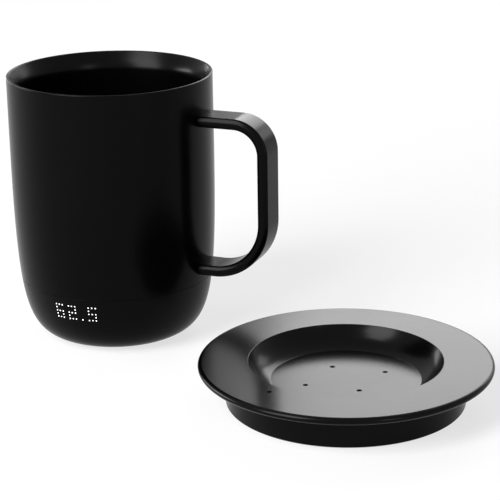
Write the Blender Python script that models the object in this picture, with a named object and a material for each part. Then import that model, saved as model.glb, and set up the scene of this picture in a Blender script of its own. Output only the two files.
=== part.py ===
"""Self-heating mug with its charging saucer, as separate pieces that come apart on a bench.

Units are metres, +Z is up and the table is at z = 0. The handle points along +X and the
display faces -Y. The origin lies on the table, under the middle of the whole set.
"""

import math

import bmesh
import bpy
from mathutils import Matrix, Vector

# Fits and finish that the whole set shares
GAP = 0.0003  # between two pieces that rest on each other
OVERRUN = 0.0020  # how far a cut runs past the face that it opens
SINK = 0.0004  # how far a boss runs into the wall that it grows from
MERGE_DISTANCE = 0.0000001
FULL_TURN = 2 * math.pi
ROUND_STEPS = 34
MIDDLE_STEPS = 20
SMALL_STEPS = 8
OUTER_CURVE_STEPS = 7
INNER_CURVE_STEPS = 3
CASING_INNER_STEPS = 5
RECESS_WALL_STEPS = 5
FILLET_STEPS = 2
CORNER_STEPS = 3
SIDE_STEPS = 4
LEAD_STEPS = 2
WASHER_STEPS = 2
ENVELOPE_STEPS = 12
BISECTIONS = 40
SHARP_ANGLE = math.radians(35)

# Mug outline
RIM_RADIUS = 0.04305
MUG_HEIGHT = 0.1131
FOOT_START_HEIGHT = 0.0844  # below this the straight side curves in to the foot
FOOT_CURVE_SHARES = ((1.0, 1.0), (1.0, 0.150), (0.934, 0.0), (0.488, 0.0))
SEAM_HEIGHT = 0.0262  # line between the metal shell and the lower casing

# Mug walls and rim
SHELL_WALL = 0.0008
CUP_WALL = 0.0008
DOUBLE_WALL = 0.0042  # from the shell's outside to the cup's inside
FLARE_DEPTH = 0.0050  # height over which the cup opens out to the lip
CUP_CORNER_RADIUS = 0.0040

# Lower casing, its spigot inside the shell and the seal round the spigot
CASING_WALL = 0.0020
SPIGOT_HEIGHT = 0.0032
SPIGOT_WALL = 0.0020
SPIGOT_ROOT = 0.0012
SEAL_HEIGHT = 0.0010
SEAL_DEPTH = 0.0008
CASING_FLOOR = 0.0030
LEDGE_WIDTH = 0.0015
FOOT_WEB = 0.0012  # casing wall between the foot groove and the cover
FOOT_RING_WIDTH = 0.0032
FOOT_RING_HEIGHT = 0.0012

# Underside: cover, charging contacts and power button
COVER_FACE_HEIGHT = 0.0006
COVER_RADIUS = 0.0202
COVER_RIM_THICKNESS = 0.0013
COVER_THICKNESS = 0.0030
INNER_CONTACT_RADIUS = 0.0130
OUTER_CONTACT_RADIUS = 0.0170
CONTACT_WIDTH = 0.0020
CONTACT_THICKNESS = 0.0010
CONTACT_TAIL_RADIUS = 0.0005
CONTACT_TAILS = 2
BUTTON_RADIUS = 0.0050
BUTTON_INSET = 0.0004  # button face above the foot plane
BUTTON_FLANGE_WIDTH = 0.0012
BUTTON_FLANGE_THICKNESS = 0.0008
BUTTON_TRAVEL = 0.0008

# Electronics inside the mug
SWITCH_WIDTH = 0.0060
SWITCH_HEIGHT = 0.0011
BOARD_RADIUS = 0.0290
BOARD_THICKNESS = 0.0012
BOARD_HEADROOM = 0.0025
CHIP_SHARES = ((0.35, 0.10, 0.28, 0.28), (-0.40, 0.25, 0.20, 0.14), (-0.15, -0.42, 0.36, 0.16))
CHASSIS_PLATE = 0.0017
CHASSIS_MARGIN = 0.0008
CRADLE_WALL = 0.0018
CRADLE_SHARE = 0.45  # height of the cradle's walls as a share of a cell's diameter
CELL_RADIUS = 0.0090
CELL_LENGTH = 0.0500
CELL_EDGE = 0.0008
CELL_COUNT = 2
INSULATION_THICKNESS = 0.0037
HEATER_THICKNESS = 0.0004
SPREADER_THICKNESS = 0.0010
HEATER_MARGIN = 0.0012
THERMISTOR_RADIUS = 0.0013
THERMISTOR_LENGTH = 0.0017
WIRE_RADIUS = 0.0006
WIRE_SPREAD = 0.0012
NOTCH_WIDTH = 0.0070

# Screws in the mug
POST_RADIUS = 0.0022
STUD_RADIUS = 0.0020
SCREW_RADIUS = 0.0010
SCREW_HEAD_RADIUS = 0.0018
SCREW_HEAD_THICKNESS = 0.0009
SCREW_BITE = 0.0040
CASING_BOSS_RADIUS = 0.0030
CASING_BOSS_HEIGHT = 0.0018
SCREW_COUNT = 3
SCREW_START = math.radians(90)

# Dot display behind the casing
DISPLAY_HEIGHT = 0.0198
DOT_COLUMNS = 13
DOT_ROWS = 5
DOT_COLUMN_PITCH = 0.00149
DOT_ROW_PITCH = 0.00146
DOT_SIZE = 0.0008
DOT_DEPTH = 0.0004
DISPLAY_BORDER = 0.0016
DIFFUSER_THICKNESS = 0.0006
DISPLAY_BOARD_THICKNESS = 0.0008
FLEX_WIDTH = 0.0050
FLEX_THICKNESS = 0.0003

# Handle
HANDLE_REACH = 0.0728  # from the mug's axis to the grip's outer face
HANDLE_DROP = 0.0142  # from the rim down to the top leg's upper face
HANDLE_SEAM_CLEARANCE = 0.0040  # from the seam up to the bottom leg's lower face
HANDLE_TOP_BEND = 0.0150
HANDLE_BOTTOM_BEND = 0.0248
HANDLE_WIDTH = 0.0126
HANDLE_THICKNESS = 0.0046
HANDLE_BULGE = 0.0009
HANDLE_SIDE_SHARES = (-0.5, -0.25, 0.0, 0.25, 0.5)
HANDLE_BEND_STEPS = 7
HANDLE_SCREW_RADIUS = 0.0012
HANDLE_SCREW_HEAD_RADIUS = 0.0024
HANDLE_SCREW_HEAD_THICKNESS = 0.0008
HANDLE_SCREW_BITE = 0.0070
HANDLE_HOLE_PLAY = 0.0002
WASHER_THICKNESS = 0.0007
WASHER_WIDTH = 0.0100
WASHER_HEIGHT = 0.0054

# Saucer outline
SAUCER_HEIGHT = 0.0166
FLANGE_EDGE_RADIUS = 0.0562
FLANGE_THICKNESS = 0.0031
FLANGE_SIDE_SHARES = ((0.0, 0.0), (0.70, 0.05), (0.70, 0.95), (-0.20, 1.0))
RECESS_DEPTH = 0.0082
SEAT_CLEARANCE = 0.0013  # between the mug's foot and the recess wall
RECESS_FILLET_HEIGHT = 0.0003  # height at which the small fillet round the recess floor meets the wall
SAUCER_WALL = 0.0020
BODY_RADIUS = 0.0471
BODY_BOTTOM_ROUND = 0.0006
SKIRT_WALL = 0.0020
SKIRT_HEIGHT = 0.0032
SAUCER_FLOOR_HEIGHT = 0.0003
SAUCER_FOOT_WIDTH = 0.0038
SAUCER_FOOT_HEIGHT = 0.0012
SAUCER_FOOT_EDGE = 0.0029

# Inside the saucer
SAUCER_BOARD_THICKNESS = 0.0012
SAUCER_BOARD_MARGIN = 0.0008
TONGUE_WIDTH = 0.0120
PIN_RADIUS = 0.00055
PIN_HOLE_RADIUS = 0.0008
PIN_COLLAR_RADIUS = 0.0010
PIN_DEPTH = 0.0005  # pin tip below the recess floor at rest
PIN_TRAVEL = 0.0010  # until the collar meets the underside of the recess
CARRIER_MARGIN = 0.0030
LIGHT_RADIUS = 0.0007
LIGHT_INSET = 0.0034  # from the body's side in to the middle of the status light
LIGHT_WELL_RADIUS = 0.0022
LED_SIZE = 0.0010
SOCKET_WIDTH = 0.0090
SOCKET_THICKNESS = 0.0032
SOCKET_LENGTH = 0.0076
SOCKET_WALL = 0.0004
SOCKET_TONGUE_SHARE = 0.22
SOCKET_DEPTH_SHARE = 0.80
SOCKET_INSET = 0.0006
SAUCER_BOSS_RADIUS = 0.0026
SAUCER_SCREW_COUNT = 4

# Where the two stand on the table
SAUCER_DISTANCE = 0.12645
SAUCER_BEARING = math.radians(-19.7)
SAUCER_TURN = math.radians(-21.6)
STATUS_ANGLE = math.radians(-90)
SOCKET_ANGLE = math.radians(90)
INNER_PIN_ANGLES = (math.radians(154.3), math.radians(-25.7))
OUTER_PIN_ANGLES = (math.radians(64.3), math.radians(-115.7))

# Heights inside the mug, stacked up from the cover
COVER_TOP = COVER_FACE_HEIGHT + COVER_THICKNESS
BUTTON_TOP = COVER_TOP + GAP + BUTTON_FLANGE_THICKNESS
SWITCH_BOTTOM = BUTTON_TOP + BUTTON_TRAVEL + GAP
BOARD_BOTTOM = SWITCH_BOTTOM + SWITCH_HEIGHT + GAP
BOARD_TOP = BOARD_BOTTOM + BOARD_THICKNESS
PLATE_BOTTOM = BOARD_TOP + BOARD_HEADROOM
PLATE_TOP = PLATE_BOTTOM + CHASSIS_PLATE
CELL_HEIGHT = PLATE_TOP + GAP + CELL_RADIUS
INSULATION_BOTTOM = CELL_HEIGHT + CELL_RADIUS + GAP
INSULATION_TOP = INSULATION_BOTTOM + INSULATION_THICKNESS
HEATER_BOTTOM = INSULATION_TOP + GAP
SPREADER_BOTTOM = HEATER_BOTTOM + HEATER_THICKNESS + GAP
CUP_BOTTOM = SPREADER_BOTTOM + SPREADER_THICKNESS + GAP
CUP_FLOOR = CUP_BOTTOM + CUP_WALL
CUP_RADIUS = RIM_RADIUS - DOUBLE_WALL
STUD_CIRCLE = CUP_RADIUS - CUP_CORNER_RADIUS - STUD_RADIUS - GAP
STUD_LENGTH = INSULATION_THICKNESS + SCREW_HEAD_THICKNESS
STUD_HOLE_DEPTH = STUD_LENGTH - CUP_WALL
HEATER_RADIUS = STUD_CIRCLE - STUD_RADIUS - HEATER_MARGIN
GROOVE_INNER = COVER_RADIUS + GAP + FOOT_WEB
GROOVE_OUTER = GROOVE_INNER + FOOT_RING_WIDTH + 2 * GAP
GROOVE_TOP = FOOT_RING_HEIGHT + GAP
CASING_SCREW_CIRCLE = (GROOVE_INNER + GROOVE_OUTER) / 2
CASING_BOSS_TOP = COVER_TOP + CASING_BOSS_HEIGHT
SCREW_HOLE_RADIUS = SCREW_RADIUS + GAP
HANDLE_TOP = MUG_HEIGHT - HANDLE_DROP
HANDLE_BOTTOM = SEAM_HEIGHT + HANDLE_SEAM_CLEARANCE

# Heights inside the saucer
RECESS_FLOOR = SAUCER_HEIGHT - RECESS_DEPTH
FLANGE_BOTTOM = SAUCER_HEIGHT - FLANGE_THICKNESS
RECESS_UNDERSIDE = RECESS_FLOOR - SAUCER_WALL
SAUCER_FLOOR_TOP = SAUCER_FLOOR_HEIGHT + SAUCER_WALL
SAUCER_BOARD_BOTTOM = SAUCER_FLOOR_TOP + GAP
SAUCER_BOARD_TOP = SAUCER_BOARD_BOTTOM + SAUCER_BOARD_THICKNESS
BODY_INNER_RADIUS = BODY_RADIUS - SAUCER_WALL
SKIRT_RADIUS = BODY_INNER_RADIUS - GAP
LIGHT_CIRCLE = BODY_RADIUS - LIGHT_INSET
SAUCER_FOOT_OUTER = BODY_RADIUS - BODY_BOTTOM_ROUND - SAUCER_FOOT_EDGE
SAUCER_FOOT_INNER = SAUCER_FOOT_OUTER - SAUCER_FOOT_WIDTH
SAUCER_GROOVE_TOP = SAUCER_FOOT_HEIGHT + GAP
SAUCER_SCREW_CIRCLE = (SAUCER_FOOT_OUTER + SAUCER_FOOT_INNER) / 2
SAUCER_BOSS_TOP = SAUCER_FLOOR_TOP + SCREW_HEAD_THICKNESS + GAP
SAUCER_BOARD_RADIUS = SAUCER_SCREW_CIRCLE - SAUCER_BOSS_RADIUS - SAUCER_BOARD_MARGIN
CARRIER_RADIUS = OUTER_CONTACT_RADIUS + CARRIER_MARGIN

BLACK_METAL = ((0.012, 0.012, 0.013, 1.0), 0.42, 0.0)
BLACK_PLASTIC = ((0.010, 0.010, 0.011, 1.0), 0.50, 0.0)
RUBBER = ((0.020, 0.020, 0.021, 1.0), 0.85, 0.0)
STEEL = ((0.55, 0.55, 0.56, 1.0), 0.30, 1.0)
BOARD_GREEN = ((0.010, 0.075, 0.035, 1.0), 0.45, 0.0)
CHIP_BLACK = ((0.015, 0.015, 0.016, 1.0), 0.40, 0.0)
CELL_BLUE = ((0.020, 0.090, 0.300, 1.0), 0.35, 0.0)
FILM_AMBER = ((0.450, 0.190, 0.030, 1.0), 0.35, 0.0)
FELT_WHITE = ((0.700, 0.700, 0.680, 1.0), 0.95, 0.0)
ALUMINIUM = ((0.620, 0.630, 0.640, 1.0), 0.35, 1.0)
CLEAR_WHITE = ((0.800, 0.800, 0.800, 1.0), 0.30, 0.0)
WIRE_RED = ((0.350, 0.020, 0.015, 1.0), 0.50, 0.0)
GOLD = ((0.700, 0.450, 0.130, 1.0), 0.28, 1.0)


def clear_scene():
    """Remove whatever the scene holds."""
    for item in list(bpy.data.objects):
        bpy.data.objects.remove(item, do_unlink=True)


def principled(name, look):
    """Material with one colour, roughness and metallic value."""
    colour, roughness, metallic = look
    material = bpy.data.materials.new(name)
    material.use_nodes = True
    shader = material.node_tree.nodes["Principled BSDF"]
    shader.inputs["Base Color"].default_value = colour
    shader.inputs["Roughness"].default_value = roughness
    shader.inputs["Metallic"].default_value = metallic
    return material


def add_object(name, data, look, parent, location=(0, 0, 0)):
    """Link mesh or curve data under a parent, with its own material, or as a wire guide."""
    item = bpy.data.objects.new(name, data)
    bpy.context.collection.objects.link(item)
    item.parent = parent
    item.location = location
    if look is None:
        item.hide_render = True
        item.display_type = "WIRE"
    else:
        data.materials.append(principled(name, look))
    return item


def add_mesh(name, work, look, parent, location=(0, 0, 0)):
    """Close up a bmesh, face it outward and make it an object shaded smooth."""
    bmesh.ops.remove_doubles(work, verts=work.verts[:], dist=MERGE_DISTANCE)
    bmesh.ops.recalc_face_normals(work, faces=work.faces[:])
    mesh = bpy.data.meshes.new(name)
    work.to_mesh(mesh)
    work.free()
    mesh.shade_smooth()
    mesh.set_sharp_from_angle(angle=SHARP_ANGLE)
    return add_object(name, mesh, look, parent, location)


def add_empty(name, location, turn=0.0):
    """Empty that carries the pieces of one rigid group."""
    item = bpy.data.objects.new(name, None)
    bpy.context.collection.objects.link(item)
    item.location = location
    item.rotation_euler = (0, 0, turn)
    return item


def turned(name, outline, look, parent, steps=ROUND_STEPS, start=0.0, sweep=FULL_TURN, location=(0, 0, 0)):
    """Revolve a closed (radius, height) outline about Z; a part turn gets flat ends."""
    work = bmesh.new()
    ring = [work.verts.new((r * math.cos(start), r * math.sin(start), z)) for r, z in outline]
    edges = []
    for first, second in zip(ring, ring[1:] + ring[:1]):
        if first.co.xy.length > 0 or second.co.xy.length > 0:
            edges.append(work.edges.new((first, second)))
    whole = sweep == FULL_TURN
    bmesh.ops.spin(
        work,
        geom=ring + edges,
        cent=(0, 0, 0),
        axis=(0, 0, 1),
        angle=sweep,
        steps=steps,
        use_merge=whole,
    )
    if not whole:
        bmesh.ops.holes_fill(work, edges=[edge for edge in work.edges if edge.is_boundary], sides=0)
    return add_mesh(name, work, look, parent, location)


def disc(name, radius, low, high, look, parent, at=(0, 0), hole=0.0, steps=SMALL_STEPS):
    """Upright disc or tube between two heights."""
    outline = [(hole, low), (radius, low), (radius, high), (hole, high)]
    return turned(name, outline, look, parent, steps, location=(at[0], at[1], 0))


def box(name, low, high, look, parent):
    """Box between two corners."""
    work = bmesh.new()
    bmesh.ops.create_cube(work, size=1)
    size = Vector(high) - Vector(low)
    middle = (Vector(high) + Vector(low)) / 2
    place = Matrix.Translation(middle) @ Matrix.Diagonal(size.to_4d())
    bmesh.ops.transform(work, matrix=place, verts=work.verts[:])
    return add_mesh(name, work, look, parent)


def grouped(name, pieces, parent):
    """Join guides that lie clear of each other into one guide."""
    work = bmesh.new()
    for piece in pieces:
        mesh = piece.data.copy()
        mesh.transform(piece.matrix_basis)
        work.from_mesh(mesh)
        bpy.data.meshes.remove(mesh)
        bpy.data.objects.remove(piece)
    return add_mesh(name, work, None, parent)


def combine(target, other, operation):
    """Boolean of a target with one hidden guide."""
    modifier = target.modifiers.new(other.name, "BOOLEAN")
    modifier.operation = operation
    modifier.object = other


def cut(target, other):
    """Take a guide's shape out of a piece."""
    combine(target, other, "DIFFERENCE")


def fuse(target, other):
    """Grow a piece by a guide's shape."""
    combine(target, other, "UNION")


def polar(radius, angle):
    """Point on a circle round the group's axis."""
    return (radius * math.cos(angle), radius * math.sin(angle))


def around(count, start=0.0):
    """Equal angles round a full turn."""
    return [start + FULL_TURN * index / count for index in range(count)]


def screw_angles():
    """Angles of the mug's screws."""
    return around(SCREW_COUNT, SCREW_START)


def cubic(controls, share):
    """Point on a cubic curve."""
    rest = 1 - share
    weights = (rest**3, 3 * rest**2 * share, 3 * rest * share**2, share**3)
    return tuple(sum(w * point[axis] for w, point in zip(weights, controls)) for axis in (0, 1))


def cubic_slope(controls, share):
    """Direction of travel along a cubic curve."""
    rest = 1 - share
    weights = (rest**2, 2 * rest * share, share**2)
    steps = [(b[0] - a[0], b[1] - a[1]) for a, b in zip(controls, controls[1:])]
    slope = [sum(w * step[axis] for w, step in zip(weights, steps)) for axis in (0, 1)]
    length = math.hypot(slope[0], slope[1])
    return (slope[0] / length, slope[1] / length)


def blend(first, corner, second, steps=CORNER_STEPS):
    """Points of a soft corner between two points, ends included."""
    shares = [index / steps for index in range(steps + 1)]
    return [
        tuple((1 - s) ** 2 * first[k] + 2 * s * (1 - s) * corner[k] + s**2 * second[k] for k in (0, 1))
        for s in shares
    ]


def foot_controls():
    """Control points (radius, height) of the curve from the mug's straight side to its foot."""
    return [(r * RIM_RADIUS, z * FOOT_START_HEIGHT) for r, z in FOOT_CURVE_SHARES]


def foot_point(share, inset=0.0):
    """Point of the mug's outline below its straight side, moved inward by an inset."""
    radius, height = cubic(foot_controls(), share)
    slope = cubic_slope(foot_controls(), share)
    return (radius + slope[1] * inset, height - slope[0] * inset)


def foot_lean(share):
    """Radius gained for each unit of height at a place on the foot curve."""
    slope = cubic_slope(foot_controls(), share)
    return slope[0] / slope[1]


def foot_share(value, axis, inset=0.0):
    """Share along the foot curve where its radius (axis 0) or height (axis 1) has a value."""
    low, high = 0.0, 1.0
    for _ in range(BISECTIONS):
        middle = (low + high) / 2
        if foot_point(middle, inset)[axis] > value:
            low = middle
        else:
            high = middle
    return (low + high) / 2


def wall_point(height, inset=0.0):
    """Point of the mug's wall at a height, moved inward by an inset."""
    if height >= FOOT_START_HEIGHT:
        return (RIM_RADIUS - inset, height)
    return (foot_point(foot_share(height, 1, inset), inset)[0], height)


def foot_stretch(first_share, last_share, inset=0.0, steps=INNER_CURVE_STEPS, lift=0.0):
    """Points along the foot curve, ends included, raised by a lift."""
    points = []
    for index in range(steps + 1):
        share = first_share + (last_share - first_share) * index / steps
        radius, height = foot_point(share, inset)
        points.append((radius, height + lift))
    return points


def handle_legs():
    """Middle heights of the two legs of the handle."""
    half = HANDLE_THICKNESS / 2
    return (HANDLE_TOP - half, HANDLE_BOTTOM + half)


def handle_screw_guide(name, parent, radius):
    """Two bars along X on the axes of the handle's screws."""
    work = bmesh.new()
    for height in handle_legs():
        start = wall_point(height, SHELL_WALL)[0] - WASHER_THICKNESS - OVERRUN
        length = OVERRUN + WASHER_THICKNESS + SHELL_WALL + GAP + HANDLE_SCREW_BITE + GAP
        place = Matrix.Translation((start + length / 2, 0, height)) @ Matrix.Rotation(math.pi / 2, 4, "Y")
        bmesh.ops.create_cone(
            work,
            cap_ends=True,
            segments=SMALL_STEPS,
            radius1=radius,
            radius2=radius,
            depth=length,
            matrix=place,
        )
    return add_mesh(name, work, None, parent)


def screw_discs(name, radius, low, high, circle, mug):
    """Guide discs between two heights, at the mug's screws on a circle."""
    return [disc(name, radius, low, high, None, mug, polar(circle, angle)) for angle in screw_angles()]


def make_mug_shell(mug):
    """Metal outer shell, from the seam up to the rounded lip."""
    bottom = SEAM_HEIGHT + GAP / 2
    steps = INNER_CURVE_STEPS + 1
    outer = foot_stretch(0.0, foot_share(bottom, 1), 0.0, steps)
    inner = foot_stretch(foot_share(bottom, 1, SHELL_WALL), 0.0, SHELL_WALL, steps)
    lip = SHELL_WALL / 2
    outline = [(RIM_RADIUS, MUG_HEIGHT - lip)] + outer + inner
    outline += [(RIM_RADIUS - SHELL_WALL, MUG_HEIGHT - lip)]
    outline += [
        (RIM_RADIUS - lip - lip * math.cos(angle), MUG_HEIGHT - lip + lip * math.sin(angle))
        for angle in (math.pi / 4, math.pi / 2, 3 * math.pi / 4)
    ]
    shell = turned("mug_shell", outline, BLACK_METAL, mug)
    cut(shell, handle_screw_guide("shell_screw_holes", mug, HANDLE_SCREW_RADIUS + GAP))


def make_inner_cup(mug):
    """Steel cup with a flared mouth, and the studs under its floor."""
    mouth = RIM_RADIUS - SHELL_WALL - GAP
    top = MUG_HEIGHT - SHELL_WALL / 2
    neck = top - FLARE_DEPTH
    corner = CUP_CORNER_RADIUS
    outer_corner = corner + CUP_WALL
    inside = blend((mouth - CUP_WALL, top), (CUP_RADIUS, neck + FLARE_DEPTH / 2), (CUP_RADIUS, neck))
    floor_edge = (CUP_RADIUS - corner, CUP_FLOOR)
    inside += blend((CUP_RADIUS, CUP_FLOOR + corner), (CUP_RADIUS, CUP_FLOOR), floor_edge)
    inside += [(0, CUP_FLOOR)]
    outer = CUP_RADIUS + CUP_WALL
    outside = [(0, CUP_BOTTOM)]
    low = (outer - outer_corner, CUP_BOTTOM)
    outside += blend(low, (outer, CUP_BOTTOM), (outer, CUP_BOTTOM + outer_corner), CORNER_STEPS - 1)
    outside += blend((outer, neck), (outer, neck + FLARE_DEPTH / 2), (mouth, top))
    cup = turned("inner_cup", inside + outside, STEEL, mug)
    stud_bottom = CUP_BOTTOM - STUD_LENGTH
    studs = screw_discs("stud", STUD_RADIUS, stud_bottom, CUP_BOTTOM + SINK, STUD_CIRCLE, mug)
    fuse(cup, grouped("cup_studs", studs, mug))
    hole_top = stud_bottom + STUD_HOLE_DEPTH
    holes = screw_discs("hole", SCREW_HOLE_RADIUS, stud_bottom - OVERRUN, hole_top, STUD_CIRCLE, mug)
    cut(cup, grouped("cup_stud_holes", holes, mug))


def handle_path():
    """Stations (x, z, direction angle) along the middle of the handle, top leg first."""
    half = HANDLE_THICKNESS / 2
    top, bottom = handle_legs()
    reach = HANDLE_REACH - half
    top_bend = HANDLE_TOP_BEND - half
    bottom_bend = HANDLE_BOTTOM_BEND - half
    start = RIM_RADIUS - SHELL_WALL
    stations = [(start, top, 0.0)]
    for index in range(HANDLE_BEND_STEPS + 1):
        angle = math.pi / 2 * index / HANDLE_BEND_STEPS
        x = reach - top_bend + top_bend * math.sin(angle)
        stations.append((x, top - top_bend + top_bend * math.cos(angle), -angle))
    for index in range(HANDLE_BEND_STEPS + 1):
        angle = math.pi / 2 * index / HANDLE_BEND_STEPS
        x = reach - bottom_bend + bottom_bend * math.cos(angle)
        stations.append((x, bottom + bottom_bend - bottom_bend * math.sin(angle), -math.pi / 2 - angle))
    stations.append((wall_point(bottom, SHELL_WALL)[0], bottom, -math.pi))
    return stations


def handle_section():
    """Outline (across, outward) of the strap: flat wide faces, crisp edges and bulged sides."""
    right = [
        (HANDLE_WIDTH / 2 + HANDLE_BULGE * (1 - (2 * share) ** 2), HANDLE_THICKNESS * share)
        for share in HANDLE_SIDE_SHARES
    ]
    left = [(-across, outward) for across, outward in reversed(right)]
    return right + left


def make_handle(mug):
    """Strap handle, swept along its path and cut to the shell's curve."""
    work = bmesh.new()
    rings = []
    for x, z, angle in handle_path():
        outward = Vector((-math.sin(angle), 0, math.cos(angle)))
        place = Vector((x, 0, z))
        rings.append([work.verts.new(place + Vector((0, a, 0)) + outward * o) for a, o in handle_section()])
    for first, second in zip(rings, rings[1:]):
        for index in range(len(first)):
            after = (index + 1) % len(first)
            work.faces.new((first[index], first[after], second[after], second[index]))
    work.faces.new(rings[0])
    work.faces.new(rings[-1])
    handle = add_mesh("handle", work, BLACK_METAL, mug)
    outline = [(0, MUG_HEIGHT), (RIM_RADIUS + GAP, MUG_HEIGHT)]
    outline += foot_stretch(0.0, 1.0, -GAP, ENVELOPE_STEPS) + [(0, -GAP)]
    cut(handle, turned("mug_envelope", outline, None, mug))
    cut(handle, handle_screw_guide("handle_screw_holes", mug, HANDLE_SCREW_RADIUS + HANDLE_HOLE_PLAY))


def make_handle_fasteners(mug):
    """Curved washers inside the shell and the screws that pull the handle on."""
    holes = handle_screw_guide("washer_holes", mug, HANDLE_SCREW_RADIUS + GAP)
    for index, height in enumerate(handle_legs(), 1):
        low = height - WASHER_HEIGHT / 2
        high = height + WASHER_HEIGHT / 2
        near = SHELL_WALL + GAP
        far = near + WASHER_THICKNESS
        sweep = WASHER_WIDTH / RIM_RADIUS
        outline = [wall_point(low, near), wall_point(high, near)]
        outline += [wall_point(high, far), wall_point(low, far)]
        name = "handle_washer_" + str(index)
        cut(turned(name, outline, STEEL, mug, WASHER_STEPS, -sweep / 2, sweep), holes)
        seat = min(wall_point(height - HANDLE_SCREW_HEAD_RADIUS, far)[0], wall_point(height, far)[0]) - GAP
        end = wall_point(height)[0] + GAP + HANDLE_SCREW_BITE
        outline = [
            (0, seat - HANDLE_SCREW_HEAD_THICKNESS),
            (HANDLE_SCREW_HEAD_RADIUS, seat - HANDLE_SCREW_HEAD_THICKNESS),
            (HANDLE_SCREW_HEAD_RADIUS, seat),
            (HANDLE_SCREW_RADIUS, seat),
            (HANDLE_SCREW_RADIUS, end),
            (0, end),
        ]
        name = "handle_screw_" + str(index)
        screw = turned(name, outline, STEEL, mug, SMALL_STEPS, location=(0, 0, height))
        screw.rotation_euler = (0, math.pi / 2, 0)


def make_lower_casing(mug):
    """Plastic bowl that closes the mug below the seam, with its spigot, foot groove and bosses."""
    shoulder = SEAM_HEIGHT - GAP / 2
    spigot = SHELL_WALL + GAP
    spigot_top = SEAM_HEIGHT + SPIGOT_HEIGHT
    seal_high = shoulder + SEAL_HEIGHT + 2 * GAP
    outline = [wall_point(spigot_top, spigot), wall_point(seal_high, spigot)]
    outline += [wall_point(seal_high, spigot + SEAL_DEPTH), wall_point(shoulder, spigot + SEAL_DEPTH)]
    outline += foot_stretch(foot_share(shoulder, 1), foot_share(GROOVE_OUTER, 0), 0.0, OUTER_CURVE_STEPS)
    outline += [(GROOVE_OUTER, GROOVE_TOP), (GROOVE_INNER, GROOVE_TOP)]
    opening = COVER_RADIUS + GAP
    ledge = COVER_FACE_HEIGHT + COVER_RIM_THICKNESS + GAP
    outline += [(GROOVE_INNER, COVER_FACE_HEIGHT), (opening, COVER_FACE_HEIGHT), (opening, ledge)]
    outline += [(opening - LEDGE_WIDTH, ledge), (opening - LEDGE_WIDTH, COVER_FACE_HEIGHT + CASING_FLOOR)]
    root = SEAM_HEIGHT - SPIGOT_ROOT
    floor_share = foot_share(COVER_FACE_HEIGHT + CASING_FLOOR, 1, CASING_WALL)
    root_share = foot_share(root, 1, CASING_WALL)
    outline += foot_stretch(floor_share, root_share, CASING_WALL, CASING_INNER_STEPS)
    inner = spigot + SPIGOT_WALL
    outline += [wall_point(SEAM_HEIGHT, inner), wall_point(spigot_top, inner)]
    casing = turned("lower_casing", outline, BLACK_PLASTIC, mug)
    circle = CASING_SCREW_CIRCLE
    bosses = screw_discs("boss", CASING_BOSS_RADIUS, GROOVE_TOP + SINK, CASING_BOSS_TOP, circle, mug)
    fuse(casing, grouped("casing_bosses", bosses, mug))
    head_top = GROOVE_TOP + GAP + SCREW_HEAD_THICKNESS + GAP
    seats = screw_discs("seat", SCREW_HEAD_RADIUS + GAP, GROOVE_TOP - SINK, head_top, circle, mug)
    cut(casing, grouped("casing_screw_seats", seats, mug))
    holes = screw_discs("hole", SCREW_HOLE_RADIUS, GROOVE_TOP, CASING_BOSS_TOP + OVERRUN, circle, mug)
    cut(casing, grouped("casing_screw_holes", holes, mug))


def make_seam_seal(mug):
    """Rubber ring in the corner between the spigot and the casing's shoulder."""
    spigot = SHELL_WALL + GAP
    low = SEAM_HEIGHT + GAP / 2
    high = low + SEAL_HEIGHT
    outer = [wall_point(high, spigot), wall_point(low, spigot)]
    inner = [wall_point(low, spigot + SEAL_DEPTH - GAP), wall_point(high, spigot + SEAL_DEPTH - GAP)]
    turned("seam_seal", outer + inner, RUBBER, mug)


def make_foot_ring(mug):
    """Rubber ring that the mug stands on."""
    inner = GROOVE_INNER + GAP
    outer = GROOVE_OUTER - GAP
    outline = [(inner, 0), (outer, 0), (outer, FOOT_RING_HEIGHT), (inner, FOOT_RING_HEIGHT)]
    turned("foot_ring", outline, RUBBER, mug)


def contact_groove(radius):
    """Underside groove that holds one contact ring, outer edge first."""
    half = CONTACT_WIDTH / 2 + GAP
    roof = GAP + CONTACT_THICKNESS + GAP
    return [
        (radius + half, COVER_FACE_HEIGHT),
        (radius + half, roof),
        (radius - half, roof),
        (radius - half, COVER_FACE_HEIGHT),
    ]


def tail_angles(radius):
    """Angles of the tails that lead up from one contact ring."""
    offset = 0.0 if radius == INNER_CONTACT_RADIUS else math.pi / CONTACT_TAILS
    return around(CONTACT_TAILS, offset)


def make_base_cover(mug):
    """Round cover that closes the casing, with grooves for the contacts and a hole for the button."""
    shoulder = COVER_RADIUS - LEDGE_WIDTH
    rim_top = COVER_FACE_HEIGHT + COVER_RIM_THICKNESS
    hole = BUTTON_RADIUS + GAP
    outline = [(hole, COVER_TOP), (shoulder, COVER_TOP), (shoulder, rim_top), (COVER_RADIUS, rim_top)]
    outline += [(COVER_RADIUS, COVER_FACE_HEIGHT)]
    outline += contact_groove(OUTER_CONTACT_RADIUS) + contact_groove(INNER_CONTACT_RADIUS)
    outline += [(hole, COVER_FACE_HEIGHT)]
    cover = turned("base_cover", outline, BLACK_PLASTIC, mug, MIDDLE_STEPS)
    holes = []
    for radius in (INNER_CONTACT_RADIUS, OUTER_CONTACT_RADIUS):
        for angle in tail_angles(radius):
            place = polar(radius, angle)
            tail = CONTACT_TAIL_RADIUS + GAP
            holes.append(disc("hole", tail, CONTACT_THICKNESS, COVER_TOP + OVERRUN, None, mug, place))
    cut(cover, grouped("cover_tail_holes", holes, mug))


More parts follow.
